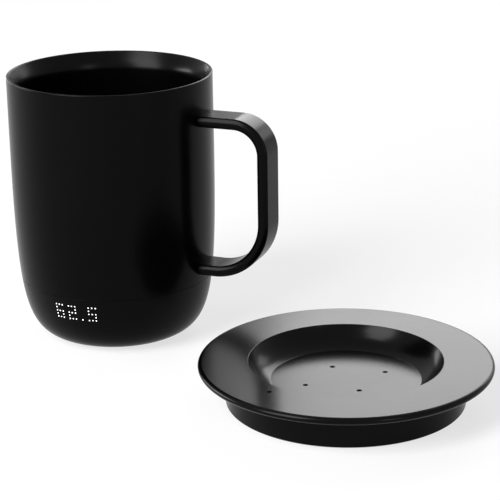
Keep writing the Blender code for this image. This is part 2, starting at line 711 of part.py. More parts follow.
def make_contact_ring(name, radius, mug):
    """Charging contact ring in the cover, with tails up to the main board."""
    half = CONTACT_WIDTH / 2
    top = GAP + CONTACT_THICKNESS
    outline = [(radius - half, GAP), (radius + half, GAP), (radius + half, top), (radius - half, top)]
    ring = turned(name, outline, GOLD, mug, MIDDLE_STEPS)
    tails = [
        disc("tail", CONTACT_TAIL_RADIUS, top - SINK, BOARD_BOTTOM - GAP, None, mug, polar(radius, angle))
        for angle in tail_angles(radius)
    ]
    fuse(ring, grouped(name + "_tails", tails, mug))


def make_power_button(mug):
    """Push button in the middle of the underside, held by its flange above the cover."""
    flange = BUTTON_RADIUS + BUTTON_FLANGE_WIDTH
    edge = BUTTON_INSET / 2
    outline = [(0, BUTTON_INSET), (BUTTON_RADIUS - edge, BUTTON_INSET)]
    outline += [(BUTTON_RADIUS, BUTTON_INSET + edge)]
    outline += [(BUTTON_RADIUS, COVER_TOP + GAP), (flange, COVER_TOP + GAP)]
    outline += [(flange, BUTTON_TOP), (0, BUTTON_TOP)]
    turned("power_button", outline, BLACK_PLASTIC, mug, MIDDLE_STEPS)


def make_main_board(mug):
    """Round circuit board with its chips, and the switch that the button presses."""
    board = disc("main_board", BOARD_RADIUS, BOARD_BOTTOM, BOARD_TOP, BOARD_GREEN, mug, steps=MIDDLE_STEPS)
    low = BOARD_BOTTOM - OVERRUN
    holes = screw_discs("hole", POST_RADIUS + GAP, low, BOARD_TOP + OVERRUN, CASING_SCREW_CIRCLE, mug)
    cut(board, grouped("board_post_holes", holes, mug))
    chips = []
    chip_top = BOARD_TOP + BOARD_THICKNESS
    for x, y, length, width in CHIP_SHARES:
        low = ((x - length / 2) * BOARD_RADIUS, (y - width / 2) * BOARD_RADIUS, BOARD_TOP - SINK)
        high = ((x + length / 2) * BOARD_RADIUS, (y + width / 2) * BOARD_RADIUS, chip_top)
        chips.append(box("chip", low, high, None, mug))
    fuse(board, grouped("board_chips", chips, mug))
    half = SWITCH_WIDTH / 2
    top = SWITCH_BOTTOM + SWITCH_HEIGHT
    box("button_switch", (-half, -half, SWITCH_BOTTOM), (half, half, top), CHIP_BLACK, mug)


def cradle_size():
    """Half length, half width and top of the space inside the battery cradle."""
    length = CELL_LENGTH / 2 + GAP
    width = CELL_COUNT * (CELL_RADIUS + GAP / 2) + GAP / 2
    return (length, width, PLATE_TOP + CRADLE_SHARE * 2 * CELL_RADIUS)


def make_chassis(mug):
    """Inner frame: a plate with the battery cradle, posts up to the cup and posts down to the casing."""
    radius = wall_point(PLATE_BOTTOM, CASING_WALL)[0] - CHASSIS_MARGIN
    chassis = disc("chassis", radius, PLATE_BOTTOM, PLATE_TOP, BLACK_PLASTIC, mug, steps=MIDDLE_STEPS)
    length, width, top = cradle_size()
    wall = CRADLE_WALL
    low_corner = (-length - wall, -width - wall, PLATE_TOP - SINK)
    fuse(chassis, box("cradle_outside", low_corner, (length + wall, width + wall, top), None, mug))
    post_top = CUP_BOTTOM - STUD_LENGTH - GAP
    post_bottom = CASING_BOSS_TOP + GAP
    upper = screw_discs("post", POST_RADIUS, PLATE_TOP - SINK, post_top, STUD_CIRCLE, mug)
    fuse(chassis, grouped("chassis_upper_posts", upper, mug))
    lower = screw_discs("post", POST_RADIUS, post_bottom, PLATE_BOTTOM + SINK, CASING_SCREW_CIRCLE, mug)
    fuse(chassis, grouped("chassis_lower_posts", lower, mug))
    inside = box("cradle_inside", (-length, -width, PLATE_TOP), (length, width, top + OVERRUN), None, mug)
    cut(chassis, inside)
    half = NOTCH_WIDTH / 2
    notches = []
    for angle in (0.0, math.pi, -math.pi / 2):
        low = (BOARD_RADIUS, -half, PLATE_BOTTOM - OVERRUN)
        high = (RIM_RADIUS, half, PLATE_TOP + OVERRUN)
        notch = box("notch", low, high, None, mug)
        notch.data.transform(Matrix.Rotation(angle, 4, "Z"))
        notches.append(notch)
    cut(chassis, grouped("chassis_notches", notches, mug))
    blind_top = PLATE_BOTTOM + CHASSIS_PLATE / 2
    radius = SCREW_HOLE_RADIUS
    holes = screw_discs("hole", radius, PLATE_BOTTOM - OVERRUN, post_top + OVERRUN, STUD_CIRCLE, mug)
    holes += screw_discs("hole", radius, post_bottom - OVERRUN, blind_top, CASING_SCREW_CIRCLE, mug)
    cut(chassis, grouped("chassis_screw_holes", holes, mug))


def add_screw(name, head_low, end, parent, place):
    """Screw that stands head down on a vertical axis."""
    outline = [
        (0, head_low),
        (SCREW_HEAD_RADIUS, head_low),
        (SCREW_HEAD_RADIUS, head_low + SCREW_HEAD_THICKNESS),
        (SCREW_RADIUS, head_low + SCREW_HEAD_THICKNESS),
        (SCREW_RADIUS, end),
        (0, end),
    ]
    turned(name, outline, STEEL, parent, SMALL_STEPS, location=(place[0], place[1], 0))


def make_mug_screws(mug):
    """Screws from the foot groove into the chassis, and from the chassis up into the cup's studs."""
    for index, angle in enumerate(screw_angles(), 1):
        place = polar(CASING_SCREW_CIRCLE, angle)
        add_screw("casing_screw_" + str(index), GROOVE_TOP + GAP, PLATE_BOTTOM, mug, place)
    head_low = PLATE_BOTTOM - GAP - SCREW_HEAD_THICKNESS
    end = CUP_BOTTOM - STUD_LENGTH + STUD_HOLE_DEPTH - GAP
    for index, angle in enumerate(screw_angles(), 1):
        add_screw("chassis_screw_" + str(index), head_low, end, mug, polar(STUD_CIRCLE, angle))


def make_battery(mug):
    """Rechargeable cells side by side in the cradle, each with its raised end cap."""
    radius = CELL_RADIUS
    half = CELL_LENGTH / 2
    cap = radius / 3
    for index in range(CELL_COUNT):
        outline = [(0, -half), (radius, -half), (radius, half - 3 * CELL_EDGE)]
        outline += [(radius - CELL_EDGE, half - 2 * CELL_EDGE)]
        outline += [(cap, half - 2 * CELL_EDGE), (cap, half - CELL_EDGE), (0, half - CELL_EDGE)]
        y = (index - (CELL_COUNT - 1) / 2) * (2 * radius + GAP)
        name = "battery_cell_" + str(index + 1)
        cell = turned(name, outline, CELL_BLUE, mug, MIDDLE_STEPS, location=(0, y, CELL_HEIGHT))
        cell.rotation_euler = (0, math.pi / 2, 0)


def make_heater(mug):
    """Stack under the cup's floor: heat spreader, heating film, insulation and the temperature sensor."""
    hole = THERMISTOR_RADIUS + GAP
    steps = MIDDLE_STEPS
    top = SPREADER_BOTTOM + SPREADER_THICKNESS
    disc("heat_spreader", HEATER_RADIUS, SPREADER_BOTTOM, top, ALUMINIUM, mug, hole=hole, steps=steps)
    film_top = HEATER_BOTTOM + HEATER_THICKNESS
    disc("heater_film", HEATER_RADIUS, HEATER_BOTTOM, film_top, FILM_AMBER, mug, hole=hole, steps=steps)
    disc("insulation_disc", HEATER_RADIUS, INSULATION_BOTTOM, INSULATION_TOP, FELT_WHITE, mug, steps=steps)
    disc("temperature_sensor", THERMISTOR_RADIUS, top - THERMISTOR_LENGTH, top, CHIP_BLACK, mug)


def smooth_route(points, steps):
    """Points of a smooth curve through the given ones."""
    padded = [points[0]] + points + [points[-1]]
    route = []
    for before, first, second, after in zip(padded, padded[1:], padded[2:], padded[3:]):
        for index in range(steps):
            s = index / steps
            route.append(
                tuple(
                    (
                        2 * first[k]
                        + (second[k] - before[k]) * s
                        + (2 * before[k] - 5 * first[k] + 4 * second[k] - after[k]) * s**2
                        + (3 * first[k] - before[k] - 3 * second[k] + after[k]) * s**3
                    )
                    / 2
                    for k in (0, 1, 2)
                )
            )
    route.append(points[-1])
    return route


def add_wire(name, route, parent):
    """Round wire along a route."""
    data = bpy.data.curves.new(name, "CURVE")
    data.dimensions = "3D"
    data.bevel_depth = WIRE_RADIUS
    data.bevel_resolution = 0
    data.use_fill_caps = True
    spline = data.splines.new("POLY")
    spline.points.add(len(route) - 1)
    for point, place in zip(spline.points, route):
        point.co = (place[0], place[1], place[2], 1)
    add_object(name, data, WIRE_RED, parent)


def make_leads(name, side, start_radius, start_height, spread, mug):
    """Pair of wires from a start beside the stack, down past the chassis to the main board."""
    end_height = BOARD_TOP + GAP + WIRE_RADIUS
    run = STUD_CIRCLE
    for index, sign in enumerate((-1, 1), 1):
        y = sign * spread
        near = sign * WIRE_SPREAD
        points = [
            (side * start_radius, y, start_height),
            (side * run, near, (start_height + PLATE_TOP) / 2),
            (side * run, near, PLATE_TOP),
            (side * run, near, PLATE_BOTTOM),
            (side * BOARD_RADIUS, near, end_height + WIRE_RADIUS),
            (side * (BOARD_RADIUS - NOTCH_WIDTH / 2), near, end_height),
        ]
        add_wire(name + "_" + str(index), smooth_route(points, LEAD_STEPS), mug)


def display_span():
    """Start angle and sweep of the display, with its border, centred on -Y."""
    radius = wall_point(DISPLAY_HEIGHT)[0]
    width = (DOT_COLUMNS - 1) * DOT_COLUMN_PITCH + 2 * DISPLAY_BORDER
    sweep = width / radius
    return (-math.pi / 2 - sweep / 2, sweep)


def display_outline(near, far):
    """Closed outline of a curved plate behind the casing, between two insets."""
    half = (DOT_ROWS - 1) / 2 * DOT_ROW_PITCH + DISPLAY_BORDER
    low = DISPLAY_HEIGHT - half
    high = DISPLAY_HEIGHT + half
    front = [wall_point(high, near), wall_point(DISPLAY_HEIGHT, near), wall_point(low, near)]
    back = [wall_point(low, far), wall_point(DISPLAY_HEIGHT, far), wall_point(high, far)]
    return front + back


def make_display(mug):
    """Diffuser and curved board with its light dots behind the casing, and the cable to the main board."""
    start, sweep = display_span()
    diffuser_near = CASING_WALL + GAP
    diffuser_far = diffuser_near + DIFFUSER_THICKNESS
    outline = display_outline(diffuser_near, diffuser_far)
    turned("display_diffuser", outline, CLEAR_WHITE, mug, DOT_COLUMNS, start, sweep)
    dot_near = diffuser_far + GAP
    board_near = dot_near + DOT_DEPTH
    board_far = board_near + DISPLAY_BOARD_THICKNESS
    outline = display_outline(board_near, board_far)
    board = turned("display_board", outline, BOARD_GREEN, mug, DOT_COLUMNS, start, sweep)
    dots = []
    radius = wall_point(DISPLAY_HEIGHT)[0]
    for row in range(DOT_ROWS):
        height = DISPLAY_HEIGHT + (row - (DOT_ROWS - 1) / 2) * DOT_ROW_PITCH
        low = height - DOT_SIZE / 2
        high = height + DOT_SIZE / 2
        near = [wall_point(low, dot_near), wall_point(high, dot_near)]
        outline = near + [wall_point(high, board_near + SINK), wall_point(low, board_near + SINK)]
        for column in range(DOT_COLUMNS):
            middle = -math.pi / 2 + (column - (DOT_COLUMNS - 1) / 2) * DOT_COLUMN_PITCH / radius
            size = DOT_SIZE / radius
            dots.append(turned("dot", outline, None, mug, 1, middle - size / 2, size))
    fuse(board, grouped("display_dots", dots, mug))
    top = display_outline(board_near, board_far)[-3]
    route = [
        (top[0] - GAP, top[1] - GAP),
        (STUD_CIRCLE, PLATE_TOP),
        (STUD_CIRCLE, PLATE_BOTTOM),
        (BOARD_RADIUS - FLEX_WIDTH / 2, BOARD_TOP + GAP + FLEX_THICKNESS / 2),
        (BOARD_RADIUS - FLEX_WIDTH, BOARD_TOP + GAP + FLEX_THICKNESS / 2),
    ]
    make_flex(route, mug)


def make_flex(route, mug):
    """Flat cable that follows a (distance toward -Y, height) route."""
    work = bmesh.new()
    half = FLEX_WIDTH / 2
    line = smooth_route([(r, z, 0) for r, z in route], LEAD_STEPS)
    rings = []
    for index, place in enumerate(line):
        before = line[max(index - 1, 0)]
        after = line[min(index + 1, len(line) - 1)]
        along = Vector((after[0] - before[0], after[1] - before[1])).normalized()
        side = Vector((-along.y, along.x)) * FLEX_THICKNESS / 2
        corners = ((-half, side), (half, side), (half, -side), (-half, -side))
        rings.append([work.verts.new((x, -(place[0] + s.x), place[1] + s.y)) for x, s in corners])
    for first, second in zip(rings, rings[1:]):
        for index in range(len(first)):
            after = (index + 1) % len(first)
            work.faces.new((first[index], first[after], second[after], second[index]))
    work.faces.new(rings[0])
    work.faces.new(rings[-1])
    add_mesh("display_flex", work, FILM_AMBER, mug)


def recess_wall(low_height, high_height, inset, steps=INNER_CURVE_STEPS):
    """Points up the recess wall, which follows the mug's foot, between two heights above its floor."""
    first = foot_share(low_height, 1, inset)
    last = foot_share(high_height, 1, inset)
    return foot_stretch(first, last, inset, steps, RECESS_FLOOR)


def pin_places():
    """Places of the four contact pins on the recess floor."""
    inner = [polar(INNER_CONTACT_RADIUS, angle) for angle in INNER_PIN_ANGLES]
    outer = [polar(OUTER_CONTACT_RADIUS, angle) for angle in OUTER_PIN_ANGLES]
    return inner + outer


def saucer_screw_angles():
    """Angles of the saucer's screws, clear of the socket and the status light."""
    return around(SAUCER_SCREW_COUNT, math.pi / SAUCER_SCREW_COUNT)


def saucer_discs(name, radius, low, high, saucer):
    """Guide discs between two heights, at the saucer's screws."""
    places = [polar(SAUCER_SCREW_CIRCLE, angle) for angle in saucer_screw_angles()]
    return [disc(name, radius, low, high, None, saucer, place) for place in places]


def make_saucer_top(saucer):
    """Upper shell: flat flange with a bulged edge, the recess for the mug's foot and the skirt below."""
    inset = -SEAT_CLEARANCE
    wall = recess_wall(RECESS_FILLET_HEIGHT, RECESS_DEPTH, inset, RECESS_WALL_STEPS)
    reach = RECESS_FILLET_HEIGHT * foot_lean(foot_share(RECESS_FILLET_HEIGHT, 1, inset))
    corner = (wall[0][0] - reach, RECESS_FLOOR)
    flat_edge = (corner[0] - reach, RECESS_FLOOR)
    outline = [(0, RECESS_FLOOR)] + blend(flat_edge, corner, wall[0], FILLET_STEPS)[:-1] + wall
    side = [
        (FLANGE_EDGE_RADIUS + out * FLANGE_THICKNESS, SAUCER_HEIGHT - down * FLANGE_THICKNESS)
        for out, down in FLANGE_SIDE_SHARES
    ]
    outline += [cubic(side, index / SIDE_STEPS) for index in range(SIDE_STEPS + 1)]
    skirt_bottom = FLANGE_BOTTOM - SKIRT_HEIGHT
    outline += [(SKIRT_RADIUS, FLANGE_BOTTOM), (SKIRT_RADIUS, skirt_bottom)]
    outline += [(SKIRT_RADIUS - SKIRT_WALL, skirt_bottom), (SKIRT_RADIUS - SKIRT_WALL, FLANGE_BOTTOM)]
    under = recess_wall(-SAUCER_WALL, FLANGE_BOTTOM - RECESS_FLOOR, inset - SAUCER_WALL)
    outline += list(reversed(under)) + [(0, RECESS_UNDERSIDE)]
    top = turned("saucer_top", outline, BLACK_PLASTIC, saucer)
    low = SAUCER_BOSS_TOP + GAP
    bosses = saucer_discs("boss", SAUCER_BOSS_RADIUS, low, FLANGE_BOTTOM + SINK, saucer)
    fuse(top, grouped("saucer_top_bosses", bosses, saucer))
    holes = saucer_discs("hole", SCREW_HOLE_RADIUS, low - OVERRUN, low + SCREW_BITE, saucer)
    under_floor = RECESS_UNDERSIDE - OVERRUN
    over_floor = RECESS_FLOOR + OVERRUN
    holes += [
        disc("hole", PIN_HOLE_RADIUS, under_floor, over_floor, None, saucer, place)
        for place in pin_places()
    ]
    light = polar(LIGHT_CIRCLE, STATUS_ANGLE)
    light_hole = LIGHT_RADIUS + GAP / 2
    over_top = SAUCER_HEIGHT + OVERRUN
    holes.append(disc("hole", light_hole, FLANGE_BOTTOM - SINK, over_top, None, saucer, light))
    cut(top, grouped("saucer_top_holes", holes, saucer))
    well = disc("light_well", LIGHT_WELL_RADIUS, skirt_bottom - OVERRUN, FLANGE_BOTTOM, None, saucer, light)
    cut(top, well)


def make_saucer_base(saucer):
    """Lower shell: a shallow pan with a groove for the foot ring, screw bosses and the socket's slot."""
    edge = BODY_BOTTOM_ROUND
    low = SAUCER_FLOOR_HEIGHT
    top = FLANGE_BOTTOM - GAP
    outline = [(BODY_INNER_RADIUS, top), (BODY_RADIUS, top)]
    outline += blend((BODY_RADIUS, low + edge), (BODY_RADIUS, low), (BODY_RADIUS - edge, low))
    outer = SAUCER_FOOT_OUTER + GAP
    inner = SAUCER_FOOT_INNER - GAP
    outline += [(outer, low), (outer, SAUCER_GROOVE_TOP), (inner, SAUCER_GROOVE_TOP)]
    outline += [(inner, low), (0, low), (0, SAUCER_FLOOR_TOP), (BODY_INNER_RADIUS, SAUCER_FLOOR_TOP)]
    base = turned("saucer_base", outline, BLACK_PLASTIC, saucer)
    floor = SAUCER_FLOOR_TOP - SINK
    bosses = saucer_discs("boss", SAUCER_BOSS_RADIUS, floor, SAUCER_BOSS_TOP, saucer)
    fuse(base, grouped("saucer_base_bosses", bosses, saucer))
    head_top = SAUCER_GROOVE_TOP + GAP + SCREW_HEAD_THICKNESS + GAP
    seats = saucer_discs("seat", SCREW_HEAD_RADIUS + GAP, SAUCER_GROOVE_TOP - SINK, head_top, saucer)
    cut(base, grouped("saucer_screw_seats", seats, saucer))
    hole_top = SAUCER_BOSS_TOP + OVERRUN
    holes = saucer_discs("hole", SCREW_HOLE_RADIUS, SAUCER_GROOVE_TOP, hole_top, saucer)
    cut(base, grouped("saucer_screw_holes", holes, saucer))
    half = SOCKET_WIDTH / 2 + GAP
    bottom = SAUCER_BOARD_TOP
    high = SAUCER_BOARD_TOP + GAP + SOCKET_THICKNESS + GAP
    inner_corner = (-half, BODY_INNER_RADIUS - OVERRUN, bottom)
    slot = box("socket_slot", inner_corner, (half, BODY_RADIUS + OVERRUN, high), None, saucer)
    slot.data.transform(Matrix.Rotation(SOCKET_ANGLE - math.pi / 2, 4, "Z"))
    cut(base, slot)


def make_saucer_foot(saucer):
    """Rubber ring under the saucer."""
    outline = [(SAUCER_FOOT_INNER, 0), (SAUCER_FOOT_OUTER, 0)]
    outline += [(SAUCER_FOOT_OUTER, SAUCER_FOOT_HEIGHT), (SAUCER_FOOT_INNER, SAUCER_FOOT_HEIGHT)]
    turned("saucer_foot_ring", outline, RUBBER, saucer)


def make_saucer_board(saucer):
    """Charging board with a tongue under the socket and one under the status light."""
    low, high = SAUCER_BOARD_BOTTOM, SAUCER_BOARD_TOP
    board = disc("saucer_board", SAUCER_BOARD_RADIUS, low, high, BOARD_GREEN, saucer, steps=MIDDLE_STEPS)
    half = TONGUE_WIDTH / 2
    reach = BODY_INNER_RADIUS - SAUCER_BOARD_MARGIN
    inward = SAUCER_BOARD_RADIUS - TONGUE_WIDTH
    tongues = []
    for angle in (STATUS_ANGLE, SOCKET_ANGLE):
        tongue = box("tongue", (inward, -half, low), (reach, half, high), None, saucer)
        tongue.data.transform(Matrix.Rotation(angle, 4, "Z"))
        tongues.append(tongue)
    fuse(board, grouped("board_tongues", tongues, saucer))


def make_socket(saucer):
    """Charging socket: a metal sleeve with its contact tongue, open through the saucer's wall."""
    half = SOCKET_WIDTH / 2
    front = BODY_RADIUS - SOCKET_INSET
    back = front - SOCKET_LENGTH
    low = SAUCER_BOARD_TOP + GAP
    high = low + SOCKET_THICKNESS
    turn = Matrix.Rotation(SOCKET_ANGLE - math.pi / 2, 4, "Z")
    socket = box("charge_socket", (-half, back, low), (half, front, high), STEEL, saucer)
    socket.data.transform(turn)
    wall = SOCKET_WALL
    depth = front - SOCKET_DEPTH_SHARE * SOCKET_LENGTH
    outer_corner = (half - wall, front + OVERRUN, high - wall)
    mouth = box("socket_mouth", (wall - half, depth, low + wall), outer_corner, None, saucer)
    mouth.data.transform(turn)
    cut(socket, mouth)
    middle = (low + high) / 2
    thick = SOCKET_THICKNESS * SOCKET_TONGUE_SHARE / 2
    wide = half - 4 * wall
    outer_corner = (wide, front - 2 * wall, middle + thick)
    tongue = box("socket_tongue", (-wide, depth - SINK, middle - thick), outer_corner, None, saucer)
    tongue.data.transform(turn)
    fuse(socket, tongue)


def make_contact_pins(saucer):
    """Carrier under the recess floor and the pins that rise through the floor."""
    low = SAUCER_BOARD_TOP + GAP
    high = RECESS_UNDERSIDE - GAP
    carrier = disc("pin_carrier", CARRIER_RADIUS, low, high, BLACK_PLASTIC, saucer, steps=MIDDLE_STEPS)
    bore = PIN_COLLAR_RADIUS + GAP
    bores = [disc("bore", bore, low - SINK, high + SINK, None, saucer, place) for place in pin_places()]
    cut(carrier, grouped("carrier_bores", bores, saucer))
    tip = RECESS_FLOOR - PIN_DEPTH
    collar = high - PIN_TRAVEL
    edge = PIN_RADIUS / 2
    outline = [(0, low), (PIN_COLLAR_RADIUS, low), (PIN_COLLAR_RADIUS, collar), (PIN_RADIUS, collar)]
    outline += [(PIN_RADIUS, tip - edge), (PIN_RADIUS - edge, tip), (0, tip)]
    for index, place in enumerate(pin_places()):
        name = "contact_pin_" + str(index + 1)
        turned(name, outline, GOLD, saucer, steps=SMALL_STEPS, location=(place[0], place[1], 0))


def make_status_light(saucer):
    """Light source on the board's tongue and the clear pipe up to the flange."""
    x, y = polar(LIGHT_CIRCLE, STATUS_ANGLE)
    half = LED_SIZE / 2
    low = SAUCER_BOARD_TOP + GAP
    box("status_led", (x - half, y - half, low), (x + half, y + half, low + LED_SIZE), CLEAR_WHITE, saucer)
    bottom = low + LED_SIZE + GAP
    disc("status_light_pipe", LIGHT_RADIUS, bottom, SAUCER_HEIGHT - GAP / 2, CLEAR_WHITE, saucer, (x, y))


def make_saucer_screws(saucer):
    """Screws from under the foot ring up into the upper shell."""
    end = SAUCER_BOSS_TOP + SCREW_BITE
    low = SAUCER_GROOVE_TOP + GAP
    for index, angle in enumerate(saucer_screw_angles(), 1):
        add_screw("saucer_screw_" + str(index), low, end, saucer, polar(SAUCER_SCREW_CIRCLE, angle))


def flange_radius():
    """Greatest radius of the saucer's flange."""
    side = [(FLANGE_EDGE_RADIUS + out * FLANGE_THICKNESS, down) for out, down in FLANGE_SIDE_SHARES]
    return cubic(side, 0.5)[0]


def place_groups():
    """Empties for the mug and the saucer, with the middle of the set at the origin."""
    saucer_x, saucer_y = polar(SAUCER_DISTANCE, SAUCER_BEARING)
    middle_x = (saucer_x + flange_radius() - RIM_RADIUS) / 2
    middle_y = (saucer_y - flange_radius() + RIM_RADIUS) / 2
    mug = add_empty("mug", (-middle_x, -middle_y, 0))
    saucer = add_empty("saucer", (saucer_x - middle_x, saucer_y - middle_y, 0), SAUCER_TURN)
    return mug, saucer


def make_mug(mug):
    """Every piece of the mug."""
    make_mug_shell(mug)
    make_inner_cup(mug)
    make_handle(mug)
    make_handle_fasteners(mug)
    make_lower_casing(mug)
    make_seam_seal(mug)
    make_foot_ring(mug)
    make_base_cover(mug)
    make_contact_ring("contact_ring_inner", INNER_CONTACT_RADIUS, mug)
    make_contact_ring("contact_ring_outer", OUTER_CONTACT_RADIUS, mug)
    make_power_button(mug)
    make_main_board(mug)
    make_chassis(mug)
    make_mug_screws(mug)
    make_battery(mug)
    make_heater(mug)
    heater_height = HEATER_BOTTOM + HEATER_THICKNESS / 2
    make_leads("heater_lead", -1, HEATER_RADIUS + GAP, heater_height, WIRE_SPREAD, mug)
    battery_start = CELL_LENGTH / 2 + GAP
    make_leads("battery_lead", 1, battery_start, CELL_HEIGHT + CELL_RADIUS / 4, CELL_RADIUS / 3, mug)
    make_display(mug)


def make_saucer(saucer):
    """Every piece of the charging saucer."""
    make_saucer_top(saucer)
    make_saucer_base(saucer)
    make_saucer_foot(saucer)
    make_saucer_board(saucer)
    make_socket(saucer)
    make_contact_pins(saucer)
    make_status_light(saucer)
    make_saucer_screws(saucer)


def main():
    """Build the whole set."""
    clear_scene()
    mug, saucer = place_groups()
    make_mug(mug)
    make_saucer(saucer)


main()
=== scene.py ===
"""Looks of a self-heating mug and its charging saucer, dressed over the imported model.

Units are metres, +Z is up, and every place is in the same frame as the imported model. The
mug's handle points along +X and its temperature display faces -Y.
"""

import logging
import math
from dataclasses import dataclass, field
from enum import Enum
from typing import Any, Sequence

import bmesh
import bpy
from mathutils import Matrix, Vector
from mathutils.geometry import interpolate_bezier


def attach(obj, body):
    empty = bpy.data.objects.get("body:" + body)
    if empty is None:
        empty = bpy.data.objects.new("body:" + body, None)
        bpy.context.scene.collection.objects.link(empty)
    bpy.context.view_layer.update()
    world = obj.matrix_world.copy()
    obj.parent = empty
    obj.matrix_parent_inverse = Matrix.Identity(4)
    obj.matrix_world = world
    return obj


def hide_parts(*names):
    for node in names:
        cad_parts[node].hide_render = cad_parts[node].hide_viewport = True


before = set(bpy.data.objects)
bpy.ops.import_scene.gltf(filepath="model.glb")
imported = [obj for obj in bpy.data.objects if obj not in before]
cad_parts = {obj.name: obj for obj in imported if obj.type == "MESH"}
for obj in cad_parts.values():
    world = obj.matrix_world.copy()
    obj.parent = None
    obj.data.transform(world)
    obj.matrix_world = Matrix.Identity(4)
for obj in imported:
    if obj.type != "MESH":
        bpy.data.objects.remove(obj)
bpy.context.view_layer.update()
LOG = logging.getLogger("mug")

MUG_PLACE = Vector((-0.066874, 0.028663, 0))
ROUND_STEPS = 192
ROUNDING_STEPS = 4
CURVE_POINTS = 240
CORNER_PULL = 2 / 3
SLOPE_STEP = 0.0001
EDGE_BREAK = 0.00008
SHARP_ANGLE = math.radians(38)
MERGE_DISTANCE = 1e-7

MOTTLE_NOISE = (3.0, 0.5)
MOTTLE_SPAN = (0.3, 0.7)
GRAIN_NOISE = (2.0, 0.6)
TRACK_SPAN = (0.42, 0.5)

Point = tuple[float, float]
Outline = Sequence[Sequence[float]]
Colour = tuple[float, float, float]
Tree = bpy.types.NodeTree
Node = bpy.types.Node
Socket = bpy.types.NodeSocket
Mesh = bmesh.types.BMesh
Face = bmesh.types.BMFace
Piece = bpy.types.Object


class Body(Enum):
    """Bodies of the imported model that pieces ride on."""

    SAUCER = "saucer"
    MUG = "mug"
    BUTTON = "button"
    PIN_1 = "contact_pin_1"
    PIN_2 = "contact_pin_2"
    PIN_3 = "contact_pin_3"
    PIN_4 = "contact_pin_4"


# Finishes.


def fill(tree: Tree, node: Node, inputs: dict[Any, Any]) -> Node:
    """Fill a node's inputs.

    Args:
        tree: Its node tree.
        node: The node.
        inputs: For each input its value, or the socket that feeds it.

    Returns:
        The same node.
    """
    for key, value in inputs.items():
        if isinstance(value, Socket):
            tree.links.new(value, node.inputs[key])
        else:
            node.inputs[key].default_value = value
    return node


def add_node(tree: Tree, kind: str, inputs: dict[Any, Any]) -> Node:
    """Add a shader node, its kind named without ShaderNode in front, and fill its inputs."""
    return fill(tree, tree.nodes.new("ShaderNode" + kind), inputs)


def noise(tree: Tree, place: Socket, size: float, kind: Point) -> Socket:
    """Soft random pattern.

    Args:
        tree: The material's node tree.
        place: The coordinates that it reads.
        size: Size of its largest spots.
        kind: Its octaves, and the weight of the finer ones.

    Returns:
        The pattern's socket, from 0 to 1.
    """
    inputs = {"Vector": place, "Scale": 1 / size, "Detail": kind[0], "Roughness": kind[1]}
    return add_node(tree, "TexNoise", inputs).outputs["Fac"]


def map_range(tree: Tree, value: Socket, span: Point, to_span: Point) -> Socket:
    """Stretch one span of values to another.

    Args:
        tree: The node tree.
        value: The pattern to stretch.
        span: Its values that become the ends of the new span.
        to_span: The new span.

    Returns:
        The stretched pattern's socket.
    """
    keys = ("Value", "From Min", "From Max", "To Min", "To Max")
    inputs = dict(zip(keys, (value, *span, *to_span)))
    return add_node(tree, "MapRange", inputs).outputs["Result"]


def mix_colour(tree: Tree, value: Socket, first: Sequence[float], second: Sequence[float]) -> Socket:
    """Colour between two, by a pattern.

    Args:
        tree: The material's node tree.
        value: The pattern, from 0 to 1.
        first: Colour at 0.
        second: Colour at 1.

    Returns:
        The colour's socket.
    """
    node = add_node(tree, "Mix", {})
    node.data_type = "RGBA"
    colours = [socket for socket in node.inputs if socket.type == "RGBA"]
    colours[0].default_value = (*first, 1.0)
    colours[1].default_value = (*second, 1.0)
    tree.links.new(value, node.inputs["Factor"])
    return next(socket for socket in node.outputs if socket.type == "RGBA")


@dataclass(frozen=True)
class Finish:
    """Surface with a fine grain, a little mottling and its own gloss."""

    name: str
    colour: Colour
    roughness: float
    metallic: float = 0.0
    specular: float = 0.5
    grain_size: float = 0.0002
    grain_depth: float = 0.00001
    grain_strength: float = 0.3
    mottle_size: float = 0.012
    mottle: float = 0.04
    tint: float = 0.15
    extra: tuple[tuple[str, Any], ...] = ()

    def material(self) -> bpy.types.Material:
        """Build the node material.

        Returns:
            The material, ready to put on a mesh.
        """
        material = bpy.data.materials.new(self.name)
        material.use_nodes = True
        tree = material.node_tree
        place = add_node(tree, "TexCoord", {}).outputs["Object"]
        mottling = noise(tree, place, self.mottle_size, MOTTLE_NOISE)
        gloss = (self.roughness - self.mottle, self.roughness + self.mottle)
        height = self.grain(tree, place)
        relief = {"Strength": self.grain_strength, "Distance": self.grain_depth, "Height": height}
        inputs = {
            "Metallic": self.metallic,
            "Specular IOR Level": self.specular,
            "Roughness": map_range(tree, mottling, MOTTLE_SPAN, gloss),
            "Base Color": self.tone(tree, place, mottling),
            "Normal": add_node(tree, "Bump", relief).outputs["Normal"],
            **dict(self.extra),
        }
        fill(tree, tree.nodes["Principled BSDF"], inputs)
        return material

    def tone(self, tree: Tree, place: Socket, mottling: Socket) -> Socket:
        """Colour, a little darker or lighter with the mottling."""
        dark, light = ([share * level for share in self.colour] for level in (1 - self.tint, 1 + self.tint))
        return mix_colour(tree, mottling, dark, light)

    def grain(self, tree: Tree, place: Socket) -> Socket:
        """Height pattern of the surface, from 0 to 1."""
        return noise(tree, place, self.grain_size, GRAIN_NOISE)


@dataclass(frozen=True)
class RingedMetal(Finish):
    """Metal with fine rings from the lathe or the roller."""

    axes: tuple[float, float, float] = (1.0, 1.0, 40.0)

    def grain(self, tree: Tree, place: Socket) -> Socket:
        """Height pattern of the surface, drawn out along one direction."""
        drawn = add_node(tree, "Mapping", {"Vector": place, "Scale": self.axes})
        return noise(tree, drawn.outputs["Vector"], self.grain_size, GRAIN_NOISE)


